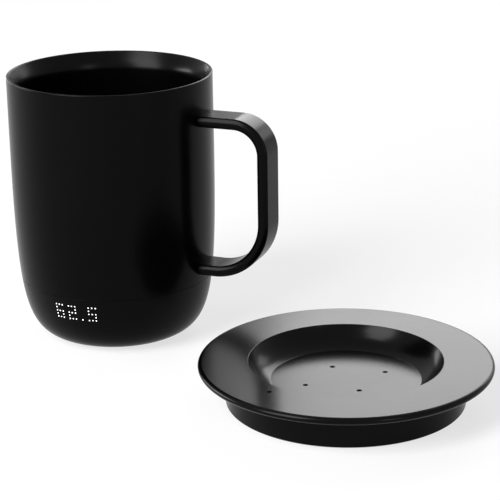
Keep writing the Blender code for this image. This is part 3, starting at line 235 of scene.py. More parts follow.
@dataclass(frozen=True)
class Printed(Finish):
    """Circuit board with paler copper tracks under its lacquer."""

    track: Colour = (0.03, 0.16, 0.07)
    track_size: float = 0.004

    def tone(self, tree: Tree, place: Socket, mottling: Socket) -> Socket:
        """Colour, paler on the tracks."""
        return mix_colour(tree, self.grain(tree, place), self.colour, self.track)

    def grain(self, tree: Tree, place: Socket) -> Socket:
        """Height pattern of the tracks.

        Args:
            tree: The material's node tree.
            place: The coordinates that it reads.

        Returns:
            The pattern's socket, from 0 to 1.
        """
        cells = add_node(tree, "TexVoronoi", {"Vector": place, "Scale": 1 / self.track_size})
        cells.distance = "MANHATTAN"
        return map_range(tree, cells.outputs["Distance"], TRACK_SPAN, (0.0, 1.0))


COATED = (0.0007, 0.0007, 0.0008)
MOULDED = (0.0008, 0.0008, 0.0009)
SATIN_METAL = Finish("satin_black_metal", COATED, 0.23, 0.0, 0.055, 0.00022, 0.000010, 0.2, 0.030, 0.02)
CUP_COATING = Finish("cup_coating", COATED, 0.26, 0.0, 0.065, 0.00025, 0.000010, 0.2, 0.030, 0.02)
CASING_PLASTIC = Finish("casing_plastic", MOULDED, 0.27, 0.0, 0.055, 0.00018, 0.000010, 0.2, 0.030, 0.02)
SAUCER_PLASTIC = Finish("saucer_plastic", MOULDED, 0.21, 0.0, 0.075, 0.00020, 0.000006, 0.12, 0.040, 0.01)
RUBBER = Finish("black_rubber", (0.011, 0.011, 0.0115), 0.78, 0.0, 0.3, 0.0003, 0.00003, 0.5, 0.006, 0.06)
STEEL = RingedMetal("turned_steel", (0.58, 0.58, 0.60), 0.28, 1.0, 0.5, 0.0003, 0.000008, 0.3)
GOLD = RingedMetal("gold_plate", (0.78, 0.52, 0.20), 0.24, 1.0, 0.5, 0.0003, 0.000006, 0.3)
SPREADER = RingedMetal(
    "rolled_aluminium", (0.66, 0.67, 0.69), 0.34, 1.0, 0.5, 0.0004, 0.000012, 0.4, axes=(30.0, 1.0, 1.0)
)
BOARD = Printed("circuit_board", (0.008, 0.070, 0.032), 0.36, 0.0, 0.5, 0.0003, 0.00003, 0.4)
CHIP = Finish("chip_resin", (0.012, 0.012, 0.013), 0.48, 0.0, 0.4, 0.0001, 0.00001, 0.4)
CELL = Finish("cell_sleeve", (0.018, 0.085, 0.280), 0.30, 0.0, 0.5, 0.0006, 0.00001, 0.2)
FILM = Finish("heating_film", (0.42, 0.17, 0.025), 0.26, 0.0, 0.5, 0.0009, 0.00002, 0.3)
FELT = Finish("insulation_felt", (0.66, 0.65, 0.61), 0.95, 0.0, 0.1, 0.0004, 0.0001, 0.9, 0.003, 0.04, 0.1)
SMOKY = (("Transmission Weight", 0.6),)
SMOKED = Finish("smoked_pipe", (0.012, 0.012, 0.013), 0.12, 0.0, 0.5, 0.0004, 0.000005, 0.2, extra=SMOKY)
MILKY = (("Transmission Weight", 0.7),)
DIFFUSER = Finish("diffuser_sheet", (0.80, 0.81, 0.82), 0.45, 0.0, 0.5, 0.0004, 0.00001, 0.3, extra=MILKY)
WIRE = Finish("wire_sleeve", (0.33, 0.018, 0.014), 0.42, 0.0, 0.5, 0.0004, 0.00001, 0.3)
GLOW = (("Emission Color", (1.0, 1.0, 0.98, 1.0)), ("Emission Strength", 1.0))
LIT_DOT = Finish("lit_dot", (0.85, 0.86, 0.86), 0.4, 0.0, 0.3, 0.0002, 0.000005, 0.2, extra=GLOW)


# Shaping. An outline is a run of corners that is turned about the upright axis. Each corner
# has its radius, its height and, where it is rounded, the reach of its rounding.


def soft_curve(knots: Sequence[Point], count: int) -> list[Point]:
    """Points of a cubic curve in the outline's plane.

    Args:
        knots: Its start, the two handles and its end.
        count: How many points, ends included.

    Returns:
        The points, as (radius, height).
    """
    flat = [Vector((radius, 0, height)) for radius, height in knots]
    return [(point.x, point.z) for point in interpolate_bezier(*flat, count)]


def soft_corner(first: Point, corner: Point, second: Point, count: int = 9) -> list[Point]:
    """Points of a soft corner between two points.

    Args:
        first: Where it starts.
        corner: The sharp corner that it rounds.
        second: Where it ends.
        count: How many points, ends included.

    Returns:
        The points, as (radius, height).
    """
    handles = [tuple(end[k] + (corner[k] - end[k]) * CORNER_PULL for k in (0, 1)) for end in (first, second)]
    return soft_curve((first, *handles, second), count)


def soften(work: Mesh, geom: Sequence[Any], offset: float, segments: int, affect: str) -> None:
    """Round corners or edges.

    Args:
        work: The mesh.
        geom: Its corners or edges that are rounded.
        offset: How far the rounding reaches.
        segments: How many facets it has.
        affect: VERTICES or EDGES.
    """
    bmesh.ops.bevel(
        work,
        geom=geom,
        offset=offset,
        offset_type="OFFSET",
        segments=segments,
        profile=0.5,
        affect=affect,
        clamp_overlap=True,
        material=-1,
    )


def shifted(work: Mesh, way: Sequence[float]) -> Mesh:
    """Move a whole mesh."""
    bmesh.ops.translate(work, verts=work.verts[:], vec=way)
    return work


def swung(work: Mesh, angle: float) -> Mesh:
    """Turn a whole mesh about the upright axis at the origin."""
    bmesh.ops.rotate(work, cent=(0, 0, 0), matrix=Matrix.Rotation(angle, 3, "Z"), verts=work.verts[:])
    return work


def turned(outline: Outline, closed: bool, steps: int = ROUND_STEPS) -> Mesh:
    """Solid turned about the upright axis at the origin.

    Args:
        outline: Its corners, in order.
        closed: True where the outline runs back to its start, False where both ends lie on the axis.
        steps: Facets round the axis.

    Returns:
        The closed mesh, its faces outward.
    """
    work = bmesh.new()
    points = [work.verts.new((corner[0], 0, corner[1])) for corner in outline]
    for first, second in zip(points, points[1:]):
        work.edges.new((first, second))
    if closed:
        work.edges.new((points[-1], points[0]))
    for point, corner in zip(points, outline):
        if len(corner) > 2:
            soften(work, [point], corner[2], ROUNDING_STEPS, "VERTICES")
    bmesh.ops.spin(
        work,
        geom=work.verts[:] + work.edges[:],
        cent=(0, 0, 0),
        axis=(0, 0, 1),
        angle=math.tau,
        steps=steps,
        use_merge=True,
    )
    bmesh.ops.remove_doubles(work, verts=work.verts[:], dist=MERGE_DISTANCE)
    bmesh.ops.recalc_face_normals(work, faces=work.faces[:])
    return work


def placed(name: str, data: Any) -> Piece:
    """Put a new object into the scene.

    Args:
        name: Its name.
        data: Its mesh, lamp or camera.

    Returns:
        The object.
    """
    item = bpy.data.objects.new(name, data)
    bpy.context.scene.collection.objects.link(item)
    return item


def solid(name: str, work: Mesh) -> Piece:
    """New object with a finished mesh.

    Args:
        name: Its name.
        work: Its mesh, which is freed here.

    Returns:
        The object, in the scene.
    """
    mesh = bpy.data.meshes.new(name)
    work.to_mesh(mesh)
    work.free()
    return placed(name, mesh)


def smooth(mesh: bpy.types.Mesh) -> None:
    """Shade a mesh smooth, but for its sharp edges."""
    mesh.shade_smooth()
    mesh.set_sharp_from_angle(angle=SHARP_ANGLE)


def carve(piece: Piece, cutters: Sequence[Mesh]) -> None:
    """Cut closed meshes out of a piece.

    Args:
        piece: What is cut.
        cutters: Closed meshes in the piece's own frame, which are freed here.
    """
    tools = [solid("cutter_" + str(index), cutter) for index, cutter in enumerate(cutters)]
    for tool in tools:
        modifier = piece.modifiers.new(tool.name, "BOOLEAN")
        modifier.operation = "DIFFERENCE"
        modifier.solver = "EXACT"
        modifier.object = tool
    graph = bpy.context.evaluated_depsgraph_get()
    made = bpy.data.meshes.new_from_object(piece.evaluated_get(graph), depsgraph=graph)
    piece.modifiers.clear()
    old = piece.data
    piece.data = made
    bpy.data.meshes.remove(old)
    smooth(made)
    for tool in tools:
        bpy.data.objects.remove(tool, do_unlink=True)


def add_piece(
    name: str,
    work: Mesh,
    finish: Finish,
    body: Body,
    node: str = "",
    cutters: Sequence[Mesh] = (),
    even: bool = True,
) -> None:
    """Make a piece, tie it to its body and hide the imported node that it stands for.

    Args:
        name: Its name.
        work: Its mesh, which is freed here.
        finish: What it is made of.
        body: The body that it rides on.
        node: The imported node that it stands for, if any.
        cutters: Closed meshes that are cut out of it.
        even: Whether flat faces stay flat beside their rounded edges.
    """
    piece = solid(name, work)
    smooth(piece.data)
    piece.data.materials.append(finish.material())
    if cutters:
        carve(piece, cutters)
    if even:
        piece.modifiers.new("even_shading", "WEIGHTED_NORMAL").keep_sharp = True
    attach(piece, body.value)
    if node:
        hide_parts(node)
    LOG.info("%s rides on %s, %d faces", name, body.value, len(piece.data.polygons))


@dataclass(frozen=True)
class FootCurve:
    """Curve from the mug's straight side in to its foot, which the saucer's recess follows."""

    rim_radius: float = 0.04305
    start_height: float = 0.0844
    shares: tuple[Point, ...] = ((1.0, 1.0), (1.0, 0.150), (0.934, 0.0), (0.488, 0.0))

    def line(self, inset: float = 0.0) -> list[Point]:
        """Points from the straight side down to the foot.

        Args:
            inset: Distance inward from the outside.

        Returns:
            The points, as (radius, height), from high to low.
        """
        knots = [(r * self.rim_radius, z * self.start_height) for r, z in self.shares]
        points = soft_curve(knots, CURVE_POINTS)
        line = []
        for index, (radius, height) in enumerate(points):
            before = points[max(index - 1, 0)]
            after = points[min(index + 1, len(points) - 1)]
            along = Vector((after[0] - before[0], after[1] - before[1])).normalized()
            line.append((radius + along.y * inset, height - along.x * inset))
        return line

    def radius_at(self, height: float, inset: float = 0.0) -> float:
        """Radius at a height.

        Args:
            height: Height above the foot.
            inset: Distance inward from the outside.

        Returns:
            The radius there.
        """
        line = self.line(inset)
        if height >= line[0][1]:
            return line[0][0]
        for first, second in zip(line, line[1:]):
            if second[1] <= height:
                share = (first[1] - height) / (first[1] - second[1])
                return first[0] + (second[0] - first[0]) * share
        return line[-1][0]

    def stretch(
        self, high: float, low: float, inset: float = 0.0, stride: int = 4, lift: float = 0.0
    ) -> list[Point]:
        """Points between two heights, ends included.

        Args:
            high: Upper end.
            low: Lower end.
            inset: Distance inward from the outside.
            stride: Takes each so many points of the line.
            lift: Height added to each point.

        Returns:
            The points, as (radius, height), from high to low.
        """
        inner = [point for point in self.line(inset)[::stride] if low < point[1] < high]
        ends = [(self.radius_at(height, inset), height) for height in (high, low)]
        return [(radius, height + lift) for radius, height in [ends[0], *inner, ends[1]]]

    def lean(self, height: float, inset: float = 0.0) -> float:
        """Radius gained for each unit of height at a height."""
        above, below = (self.radius_at(height + step, inset) for step in (SLOPE_STEP, -SLOPE_STEP))
        return (above - below) / (2 * SLOPE_STEP)


FOOT = FootCurve()


# The mug.


def on_mug(outline: Outline, closed: bool, steps: int = ROUND_STEPS) -> Mesh:
    """Solid turned about the mug's axis, as the function turned makes it."""
    return shifted(turned(outline, closed, steps), MUG_PLACE)


@dataclass
class MugBody:
    """Outer shell, lined cup and lower casing of the mug."""

    height: float = 0.1131
    shell_wall: float = 0.0008
    shell_round: float = 0.48
    shell_stride: int = 12
    seam_height: float = 0.0262
    seam_gap: float = 0.00009
    cup_radius: float = 0.03885
    cup_wall: float = 0.0008
    cup_gap: float = 0.00004
    cup_floor: float = 0.0380
    cup_corner: float = 0.0040
    lip_step: float = 0.00012
    lip_flat: float = 0.0002
    lip_round: float = 0.0001
    lip_depth: float = 0.0010
    flare_depth: float = 0.0078
    flare_handle: Point = (0.0015, 0.0022)
    flare_ease: float = 0.0030
    flare_points: int = 20
    casing_wall: float = 0.0020
    casing_low: float = 0.0036
    casing_drop: float = 0.0012
    casing_stride: int = 8
    skin_stride: int = 4
    skin_margin: float = 0.0003
    spigot_top: float = 0.0294
    spigot_gap: float = 0.0003
    groove_inner: float = 0.0217
    groove_outer: float = 0.0255
    groove_top: float = 0.0015
    groove_round: float = 0.00015
    cover_opening: float = 0.0205
    cover_seat: float = 0.0015
    face_height: float = 0.0006
    face_round: float = 0.00012
    ledge: float = 0.0022

    def make(self) -> None:
        """Build each piece and tie it to the mug."""
        self.shell()
        self.cup()
        self.casing()

    def shell(self) -> None:
        """Thin metal wall with a rounded lip."""
        radius = FOOT.rim_radius
        start = FOOT.start_height
        wall = self.shell_wall
        lip = wall * self.shell_round
        low = self.seam_height + self.seam_gap / 2
        outline = [
            (radius, self.height, lip),
            (radius, start),
            *FOOT.stretch(start, low)[1:-1],
            (FOOT.radius_at(low), low, EDGE_BREAK),
            *reversed(FOOT.stretch(start, low, wall, self.shell_stride)[1:]),
            (radius - wall, self.height, lip),
        ]
        add_piece("shell", on_mug(outline, True), SATIN_METAL, Body.MUG, "mug_shell")

    def cup(self) -> None:
        """Coated cup that opens out to the lip."""
        mouth = FOOT.rim_radius - self.shell_wall - self.cup_gap
        top = self.height - self.lip_step
        neck = top - self.flare_depth
        radius = self.cup_radius
        floor = self.cup_floor
        corner = self.cup_corner
        outer = radius + self.cup_wall
        base = floor - self.cup_wall
        flare = (
            (mouth - self.lip_flat - self.lip_round, top - self.lip_round),
            (mouth - self.flare_handle[0], top - self.flare_handle[1]),
            (radius, neck + self.flare_ease),
            (radius, neck),
        )
        outline = [
            (0, base),
            *soft_corner((outer - corner, base), (outer, base), (outer, base + corner)),
            (outer, neck),
            (mouth, top - self.lip_depth),
            (mouth, top, EDGE_BREAK),
            (mouth - self.lip_flat, top, self.lip_round),
            *soft_curve(flare, self.flare_points),
            *soft_corner((radius, floor + corner), (radius, floor), (radius - corner, floor)),
            (0, floor),
        ]
        add_piece("cup", on_mug(outline, False), CUP_COATING, Body.MUG, "inner_cup")

    def casing(self) -> None:
        """Plastic bowl below the seam, with its foot groove and the seat of the round cover."""
        high = self.seam_height - self.seam_gap / 2
        top = self.spigot_top
        wall = self.casing_wall
        spigot = self.shell_wall + self.spigot_gap
        groove = self.groove_outer
        opening = self.cover_opening
        seat = opening - self.cover_seat
        face = self.face_height
        skin = [
            point
            for point in FOOT.line()[:: self.skin_stride]
            if point[1] < high - self.skin_margin and point[0] > groove + self.skin_margin
        ]
        inner_top = self.seam_height - self.casing_drop
        outline = [
            (FOOT.radius_at(top, spigot), top),
            (FOOT.radius_at(high, spigot), high),
            (FOOT.radius_at(high), high, EDGE_BREAK),
            *skin,
            (groove, FOOT.line()[-1][1], self.groove_round),
            (groove, self.groove_top),
            (self.groove_inner, self.groove_top),
            (self.groove_inner, face, self.face_round),
            (opening, face, self.face_round),
            (opening, self.ledge),
            (seat, self.ledge),
            (seat, self.casing_low),
            *reversed(FOOT.stretch(inner_top, self.casing_low, wall, self.casing_stride)),
            (FOOT.radius_at(top, spigot + wall), top),
        ]
        add_piece("casing", on_mug(outline, True), CASING_PLASTIC, Body.MUG, "lower_casing")


@dataclass
class MugHandle:
    """Flat strap handle with bulged sides."""

    reach: float = 0.0728
    top: float = 0.0989
    bottom: float = 0.0302
    top_bend: float = 0.0150
    bottom_bend: float = 0.0248
    bend_steps: int = 36
    width: float = 0.0126
    thickness: float = 0.0046
    bulge: float = 0.0009
    side_cuts: int = 9
    edge: float = 0.0006
    edge_steps: int = 5
    root_depth: float = 0.0035
    root_gap: float = 0.00005
    cutter_span: Point = (0.01, 0.12)
    cutter_stride: int = 3

    def make(self) -> None:
        """Build the handle and tie it to the mug."""
        cutters = [self.envelope()]
        add_piece("handle_strap", self.strap(), SATIN_METAL, Body.MUG, "handle", cutters)

    def section(self, work: Mesh, x: float, height: float) -> Face:
        """Cross section of the strap, upright, facing along X.

        Args:
            work: The mesh that it is made in.
            x: Its place along X.
            height: Its middle height.

        Returns:
            The section's face.
        """
        half_width = self.width / 2
        half = self.thickness / 2
        places = [(-half_width, -half), (half_width, -half), (half_width, half), (-half_width, half)]
        points = [work.verts.new((x, across, height + up)) for across, up in places]
        work.faces.new(points)
        sides = [edge for edge in work.edges if abs(edge.verts[0].co.z - edge.verts[1].co.z) > half]
        bmesh.ops.subdivide_edges(work, edges=sides, cuts=self.side_cuts)
        bmesh.ops.dissolve_faces(work, faces=work.faces[:])
        for vert in work.verts:
            share = (vert.co.z - height) / half
            vert.co.y += math.copysign(self.bulge * (1 - share**2), vert.co.y)
        ends = [vert for vert in work.verts if abs(abs(vert.co.z - height) - half) < MERGE_DISTANCE]
        soften(work, ends, self.edge, self.edge_steps, "VERTICES")
        return work.faces[:][0]

    def strap(self) -> Mesh:
        """Section drawn out along the top leg, round the grip and back along the bottom leg.

        Returns:
            The closed mesh.
        """
        work = bmesh.new()
        half = self.thickness / 2
        start = FOOT.rim_radius - self.root_depth
        end = FOOT.radius_at(self.bottom + half) - self.root_depth
        top_centre = Vector((self.reach - self.top_bend, 0, self.top - self.top_bend))
        bottom_centre = Vector((self.reach - self.bottom_bend, 0, self.bottom + self.bottom_bend))
        steps = (
            (self.drawn, Vector((top_centre.x - start, 0, 0))),
            (self.bent, top_centre),
            (self.drawn, Vector((0, 0, bottom_centre.z - top_centre.z))),
            (self.bent, bottom_centre),
            (self.drawn, Vector((end - bottom_centre.x, 0, 0))),
        )
        ends = [self.section(work, start, self.top - half)]
        for step, way in steps:
            ends.append(step(work, ends[-1], way))
        inner = [face for face in ends[1:-1] if face.is_valid]
        bmesh.ops.delete(work, geom=inner, context="FACES_ONLY")
        bmesh.ops.remove_doubles(work, verts=work.verts[:], dist=MERGE_DISTANCE)
        bmesh.ops.recalc_face_normals(work, faces=work.faces[:])
        return shifted(work, MUG_PLACE)

    def drawn(self, work: Mesh, face: Face, path: Vector) -> Face:
        """Draw the end face straight along a path.

        Args:
            work: The strap's mesh.
            face: Its end face.
            path: How far and where to.

        Returns:
            The new end face.
        """
        made = bmesh.ops.extrude_face_region(work, geom=[face])["geom"]
        end = next(item for item in made if isinstance(item, Face))
        bmesh.ops.translate(work, verts=end.verts[:], vec=path)
        return end

    def bent(self, work: Mesh, face: Face, centre: Vector) -> Face:
        """Draw the end face round a quarter turn.

        Args:
            work: The strap's mesh.
            face: Its end face.
            centre: Middle of the bend.

        Returns:
            The new end face.
        """
        made = bmesh.ops.spin(
            work,
            geom=[face],
            cent=centre,
            axis=(0, 1, 0),
            angle=math.pi / 2,
            steps=self.bend_steps,
            use_merge=False,
        )["geom_last"]
        return next(item for item in made if isinstance(item, Face))

    def envelope(self) -> Mesh:
        """The mug's outside, a hair larger, which trims the handle's roots.

        Returns:
            The closed mesh.
        """
        gap = self.root_gap
        low, high = self.cutter_span
        side = [point for point in FOOT.line(-gap)[:: self.cutter_stride] if point[1] > low]
        return on_mug([(0, high), (FOOT.rim_radius + gap, high), *side, (0, low)], False)


@dataclass
class MugUnderside:
    """Foot ring, round cover, charging rings and power button."""

    steps: int = 128
    rounding: float = 0.0003
    ring_inner: float = 0.0220
    ring_outer: float = 0.0252
    ring_height: float = 0.0012
    groove_offset: float = 0.0006
    groove_half: float = 0.0002
    cover_radius: float = 0.0202
    cover_low: float = 0.0006
    cover_step: float = 0.0019
    cover_top: float = 0.0036
    cover_seat: float = 0.0015
    cover_round: float = 0.0002
    contact_radii: Point = (0.0130, 0.0170)
    contact_width: float = 0.0020
    contact_low: float = 0.0003
    contact_top: float = 0.0013
    contact_side: float = 0.0001
    contact_roof: float = 0.0003
    button_radius: float = 0.0050
    button_gap: float = 0.0003
    button_face: float = 0.0004
    button_round: float = 0.0004
    button_flange: float = 0.0062
    button_step: float = 0.0039
    button_top: float = 0.0047
    dish: tuple[Point, ...] = ((0, 0.0004), (0.0018, 0.0004), (0.0030, 0.0001), (0.0038, 0))
    dish_points: int = 10

    def make(self) -> None:
        """Build each piece and tie it to the mug or the button."""
        self.ring()
        self.cover()
        self.contacts()
        self.button()

    def ring(self) -> None:
        """Foot ring, with two fine grooves in its face."""
        inner, outer = self.ring_inner, self.ring_outer
        half = self.groove_half
        outline = [(inner, 0, self.rounding)]
        for offset in (-self.groove_offset, self.groove_offset):
            middle = (inner + outer) / 2 + offset
            outline += [(middle - half, 0), (middle, half), (middle + half, 0)]
        outline += [(outer, 0, self.rounding), (outer, self.ring_height), (inner, self.ring_height)]
        work = on_mug(outline, True, self.steps)
        add_piece("foot_ring_rubber", work, RUBBER, Body.MUG, "foot_ring")

    def cover(self) -> None:
        """Round cover, with a groove for each charging ring."""
        radius = self.cover_radius
        low = self.cover_low
        edge = self.contact_side
        hole = self.button_radius + self.button_gap
        seat = radius - self.cover_seat
        outline = [(hole, self.cover_top), (seat, self.cover_top), (seat, self.cover_step)]
        outline += [(radius, self.cover_step), (radius, low, self.cover_round)]
        half = self.contact_width / 2 + edge
        roof = self.contact_top + self.contact_roof
        for middle in reversed(self.contact_radii):
            inner, outer = middle - half, middle + half
            outline += [(outer, low, edge), (outer, roof), (inner, roof), (inner, low, edge)]
        outline += [(hole, low, self.rounding)]
        work = on_mug(outline, True, self.steps)
        add_piece("underside_cover", work, CASING_PLASTIC, Body.MUG, "base_cover")

    def contacts(self) -> None:
        """Charging rings."""
        low, top = self.contact_low, self.contact_top
        half = self.contact_width / 2
        for side, middle in zip(("inner", "outer"), self.contact_radii):
            inner, outer = middle - half, middle + half
            outline = [(inner, low, self.rounding), (outer, low, self.rounding), (outer, top), (inner, top)]
            work = on_mug(outline, True, self.steps)
            add_piece("charging_ring_" + side, work, GOLD, Body.MUG, "contact_ring_" + side)

    def button(self) -> None:
        """Power button, with a dished face."""
        low, high = self.button_face, self.button_top
        radius, flange = self.button_radius, self.button_flange
        outline = [
            *soft_curve([(out, low + up) for out, up in self.dish], self.dish_points),
            (radius, low, self.button_round),
            (radius, self.button_step),
            (flange, self.button_step),
            (flange, high),
            (0, high),
        ]
        work = on_mug(outline, False, self.steps)
        add_piece("button_cap", work, RUBBER, Body.BUTTON, "power_button")


@dataclass
class TemperatureDisplay:
    """Lit dots that show the drink's temperature through the casing."""

    rows: tuple[str, ...] = (
        "XXX.XXX...XXX",
        "X.....X...X..",
        "XXX.XXX...XXX",
        "X.X.X.......X",
        "XXX.XXX.X.XXX",
    )
    height: float = 0.0198
    column_pitch: float = 0.00149
    row_pitch: float = 0.00146
    dot_radius: float = 0.00029
    dot_taper: float = 0.9
    dot_sides: int = 20
    proud: float = 0.00004

    def make(self) -> None:
        """Build the lit dots and tie them to the mug."""
        work = bmesh.new()
        middle = (len(self.rows[0]) - 1) / 2
        reach = FOOT.radius_at(self.height)
        for row, line in enumerate(self.rows):
            height = self.height + ((len(self.rows) - 1) / 2 - row) * self.row_pitch
            for column, mark in enumerate(line):
                if mark == "X":
                    angle = -math.pi / 2 + (column - middle) * self.column_pitch / reach
                    self.dot(work, height, angle)
        shifted(work, MUG_PLACE)
        add_piece("display_dots_lit", work, LIT_DOT, Body.MUG, even=False)

    def dot(self, work: Mesh, height: float, angle: float) -> None:
        """One flat dot, flush on the casing.

        Args:
            work: The mesh that it is added to.
            height: Its height.
            angle: Its angle round the mug.
        """
        tilt = math.atan(FOOT.lean(height))
        swing = Matrix.Rotation(angle, 4, "Z")
        spot = Matrix.Translation(swing @ Vector((FOOT.radius_at(height), 0, height)))
        bmesh.ops.create_cone(
            work,
            cap_ends=True,
            segments=self.dot_sides,
            radius1=self.dot_radius,
            radius2=self.dot_radius * self.dot_taper,
            depth=2 * self.proud,
            matrix=spot @ swing @ Matrix.Rotation(math.pi / 2 + tilt, 4, "Y"),
        )


# The saucer.


@dataclass
class ChargingSaucer:
    """Flanged top with its recess, the pan below and what shows on them."""

    place: Vector = field(default_factory=lambda: Vector((0.052174, -0.013963, 0)))
    turn: float = math.radians(-21.6)
    height: float = 0.0166
    edge_radius: float = 0.0562
    flange: float = 0.0031
    side_shares: tuple[Point, ...] = ((0.0, 0.0), (0.70, 0.05), (0.70, 0.95), (-0.20, 1.0))
    side_points: int = 22
    recess_depth: float = 0.0082
    recess_stride: int = 3
    rim_round: float = 0.00018
    clearance: float = 0.0013
    fillet: float = 0.0001
    fillet_points: int = 6
    wall: float = 0.0020
    wall_overlap: float = 0.0001
    under_stride: int = 8
    body_radius: float = 0.0471
    body_low: float = 0.0003
    body_round: float = 0.0006
    body_edge: float = 0.00015
    body_gap: float = 0.00012
    skirt_radius: float = 0.0448
    skirt_low: float = 0.0103
    foot_inner: float = 0.0398
    foot_outer: float = 0.0436
    foot_height: float = 0.0012
    foot_round: float = 0.0004
    foot_gap: float = 0.0002
    foot_groove: float = 0.0015
    hole_sides: int = 40
    margin: float = 0.002
    pin_hole: float = 0.00105
    pin_depth: float = 0.0005
    pin_radius: float = 0.00055
    pin_collar: Point = (0.0010, 0.0050)
    pin_shoulder: float = 0.0002
    pin_tip: float = 0.8
    pin_points: int = 8
    pin_steps: int = 32
    pin_spots: tuple[Point, ...] = ((0.0130, 154.3), (0.0130, -25.7), (0.0170, 64.3), (0.0170, -115.7))
    light_spot: Point = (0.0437, -90.0)
    light_hole: float = 0.0009
    light_radius: float = 0.0007
    light_low: float = 0.0054
    light_sink: float = 0.0010
    light_round: float = 0.0001
    socket_width: float = 0.0090
    socket_thickness: float = 0.0032
    socket_length: float = 0.0076
    socket_inset: float = 0.0006
    socket_low: float = 0.0041
    socket_angle: float = math.radians(90.0)
    socket_gap: float = 0.00015
    socket_round: float = 0.46
    socket_facets: int = 8
    sleeve_wall: float = 0.0003
    sleeve_floor: float = 0.0015
    tongue_inset: float = 0.0006
    tongue_short: float = 0.0022
    tongue_share: float = 0.62
    tongue_thickness: float = 0.0007
    tongue_round: float = 0.0001
    tongue_facets: int = 2

    def make(self) -> None:
        """Build each piece and tie it to the saucer or its pin."""
        self.top()
        self.pan()
        self.foot()
        self.pins()
        self.light_pipe()
        self.socket()

    @property
    def floor(self) -> float:
        """Height of the recess floor."""
        return self.height - self.recess_depth

    def moved(self, work: Mesh) -> Mesh:
        """Put a mesh from the saucer's own frame in its place."""
        return shifted(swung(work, self.turn), self.place)

    def spot(self, radius: float, degrees: float) -> Vector:
        """Place at a radius and angle in the saucer's own frame."""
        angle = math.radians(degrees)
        return Vector((radius * math.cos(angle), radius * math.sin(angle), 0))

    def drill(self, radius: float, low: float, high: float, spot: Point) -> Mesh:
        """Upright round cutter.

        Args:
            radius: Its radius.
            low: Its lower end.
            high: Its upper end.
            spot: Radius and angle of its middle.

        Returns:
            The closed mesh, in its place.
        """
        work = bmesh.new()
        bmesh.ops.create_cone(
            work,
            cap_ends=True,
            segments=self.hole_sides,
            radius1=radius,
            radius2=radius,
            depth=high - low,
            matrix=Matrix.Translation(self.spot(*spot) + Vector((0, 0, (low + high) / 2))),
        )
        return self.moved(work)

    def top(self) -> None:
        """Flange with its bulged edge and the recess that the mug's foot sits in."""
        inset = -self.clearance
        floor = self.floor
        high = self.height
        under = high - self.flange
        wall = list(reversed(FOOT.stretch(self.recess_depth, self.fillet, inset, self.recess_stride, floor)))
        reach = self.fillet * FOOT.lean(self.fillet, inset)
        corner = wall[0][0] - reach
        fillet = soft_corner((corner - reach, floor), (corner, floor), wall[0], self.fillet_points)
        side = [(self.edge_radius + x * self.flange, high - z * self.flange) for x, z in self.side_shares]
        edge = soft_curve(side, self.side_points)
        inner = self.skirt_radius - self.wall
        low = self.wall_overlap - self.wall
        outline = [
            (0, floor),
            *fillet[:-1],
            *wall[:-1],
            (wall[-1][0], high, self.rim_round),
            (*edge[0], EDGE_BREAK),
            *edge[1:],
            (self.skirt_radius, under),
            (self.skirt_radius, self.skirt_low),
            (inner, self.skirt_low),
            (inner, under),
            *FOOT.stretch(under - floor, low, inset - self.wall, self.under_stride, floor),
            (0, floor - self.wall),
        ]
        work = self.moved(turned(outline, False))
        ends = (floor - 2 * self.margin, floor + self.margin)
        cutters = [self.drill(self.pin_hole, *ends, spot) for spot in self.pin_spots]
        cutters.append(self.drill(self.light_hole, under - self.margin, high + self.margin, self.light_spot))
        slot, node = "saucer_black", "saucer_top"
        add_piece("flange_and_recess", work, SAUCER_PLASTIC, Body.SAUCER, node, cutters)

    def pan(self) -> None:
        """Shallow pan under the flange, open at the back for the charging socket."""
        top = self.height - self.flange - self.body_gap
        low = self.body_low
        floor = low + self.wall
        outer, inner = self.body_radius, self.body_radius - self.wall
        foot_inner, foot_outer = self.foot_inner - self.foot_gap, self.foot_outer + self.foot_gap
        outline = [(0, floor), (inner, floor), (inner, top), (outer, top, self.body_edge)]
        outline += [(outer, low, self.body_round), (foot_outer, low, self.foot_gap)]
        outline += [(foot_outer, self.foot_groove), (foot_inner, self.foot_groove)]
        outline += [(foot_inner, low, self.foot_gap), (0, low)]
        work = self.moved(turned(outline, False))
        reach = 2 * self.margin
        mouth = self.moved(self.socket_block(self.socket_gap, outer - reach, outer + reach))
        add_piece("pan", work, SAUCER_PLASTIC, Body.SAUCER, "saucer_base", [mouth])

    def block(self, middle: float, size: Sequence[float]) -> Mesh:
        """Box at the socket's height.

        Args:
            middle: Distance of its middle from the saucer's axis.
            size: Its length, width and thickness.

        Returns:
            The closed mesh, on the X axis of the saucer's own frame.
        """
        work = bmesh.new()
        spot = Matrix.Translation((middle, 0, self.socket_low + self.socket_thickness / 2))
        bmesh.ops.create_cube(work, size=1, matrix=spot @ Matrix.Diagonal((*size, 1)))
        return work

    def socket_block(self, margin: float, near: float, far: float) -> Mesh:
        """Bar with rounded ends in the shape of the socket's mouth.

        Args:
            margin: How much larger it is than the socket, all round.
            near: Where it starts, from the saucer's axis.
            far: Where it ends.

        Returns:
            The closed mesh, in the saucer's own frame.
        """
        thick = self.socket_thickness + 2 * margin
        length = far - near
        work = self.block((near + far) / 2, (length, self.socket_width + 2 * margin, thick))
        sides = [edge for edge in work.edges if abs(edge.verts[0].co.x - edge.verts[1].co.x) > length / 2]
        soften(work, sides, thick * self.socket_round, self.socket_facets, "EDGES")
        return swung(work, self.socket_angle)

    def foot(self) -> None:
        """Rubber ring under the pan."""
        inner, outer, high = self.foot_inner, self.foot_outer, self.foot_height
        outline = [(inner, 0, self.foot_round), (outer, 0, self.foot_round), (outer, high), (inner, high)]
        work = self.moved(turned(outline, True))
        add_piece("saucer_foot_rubber", work, RUBBER, Body.SAUCER, "saucer_foot_ring")

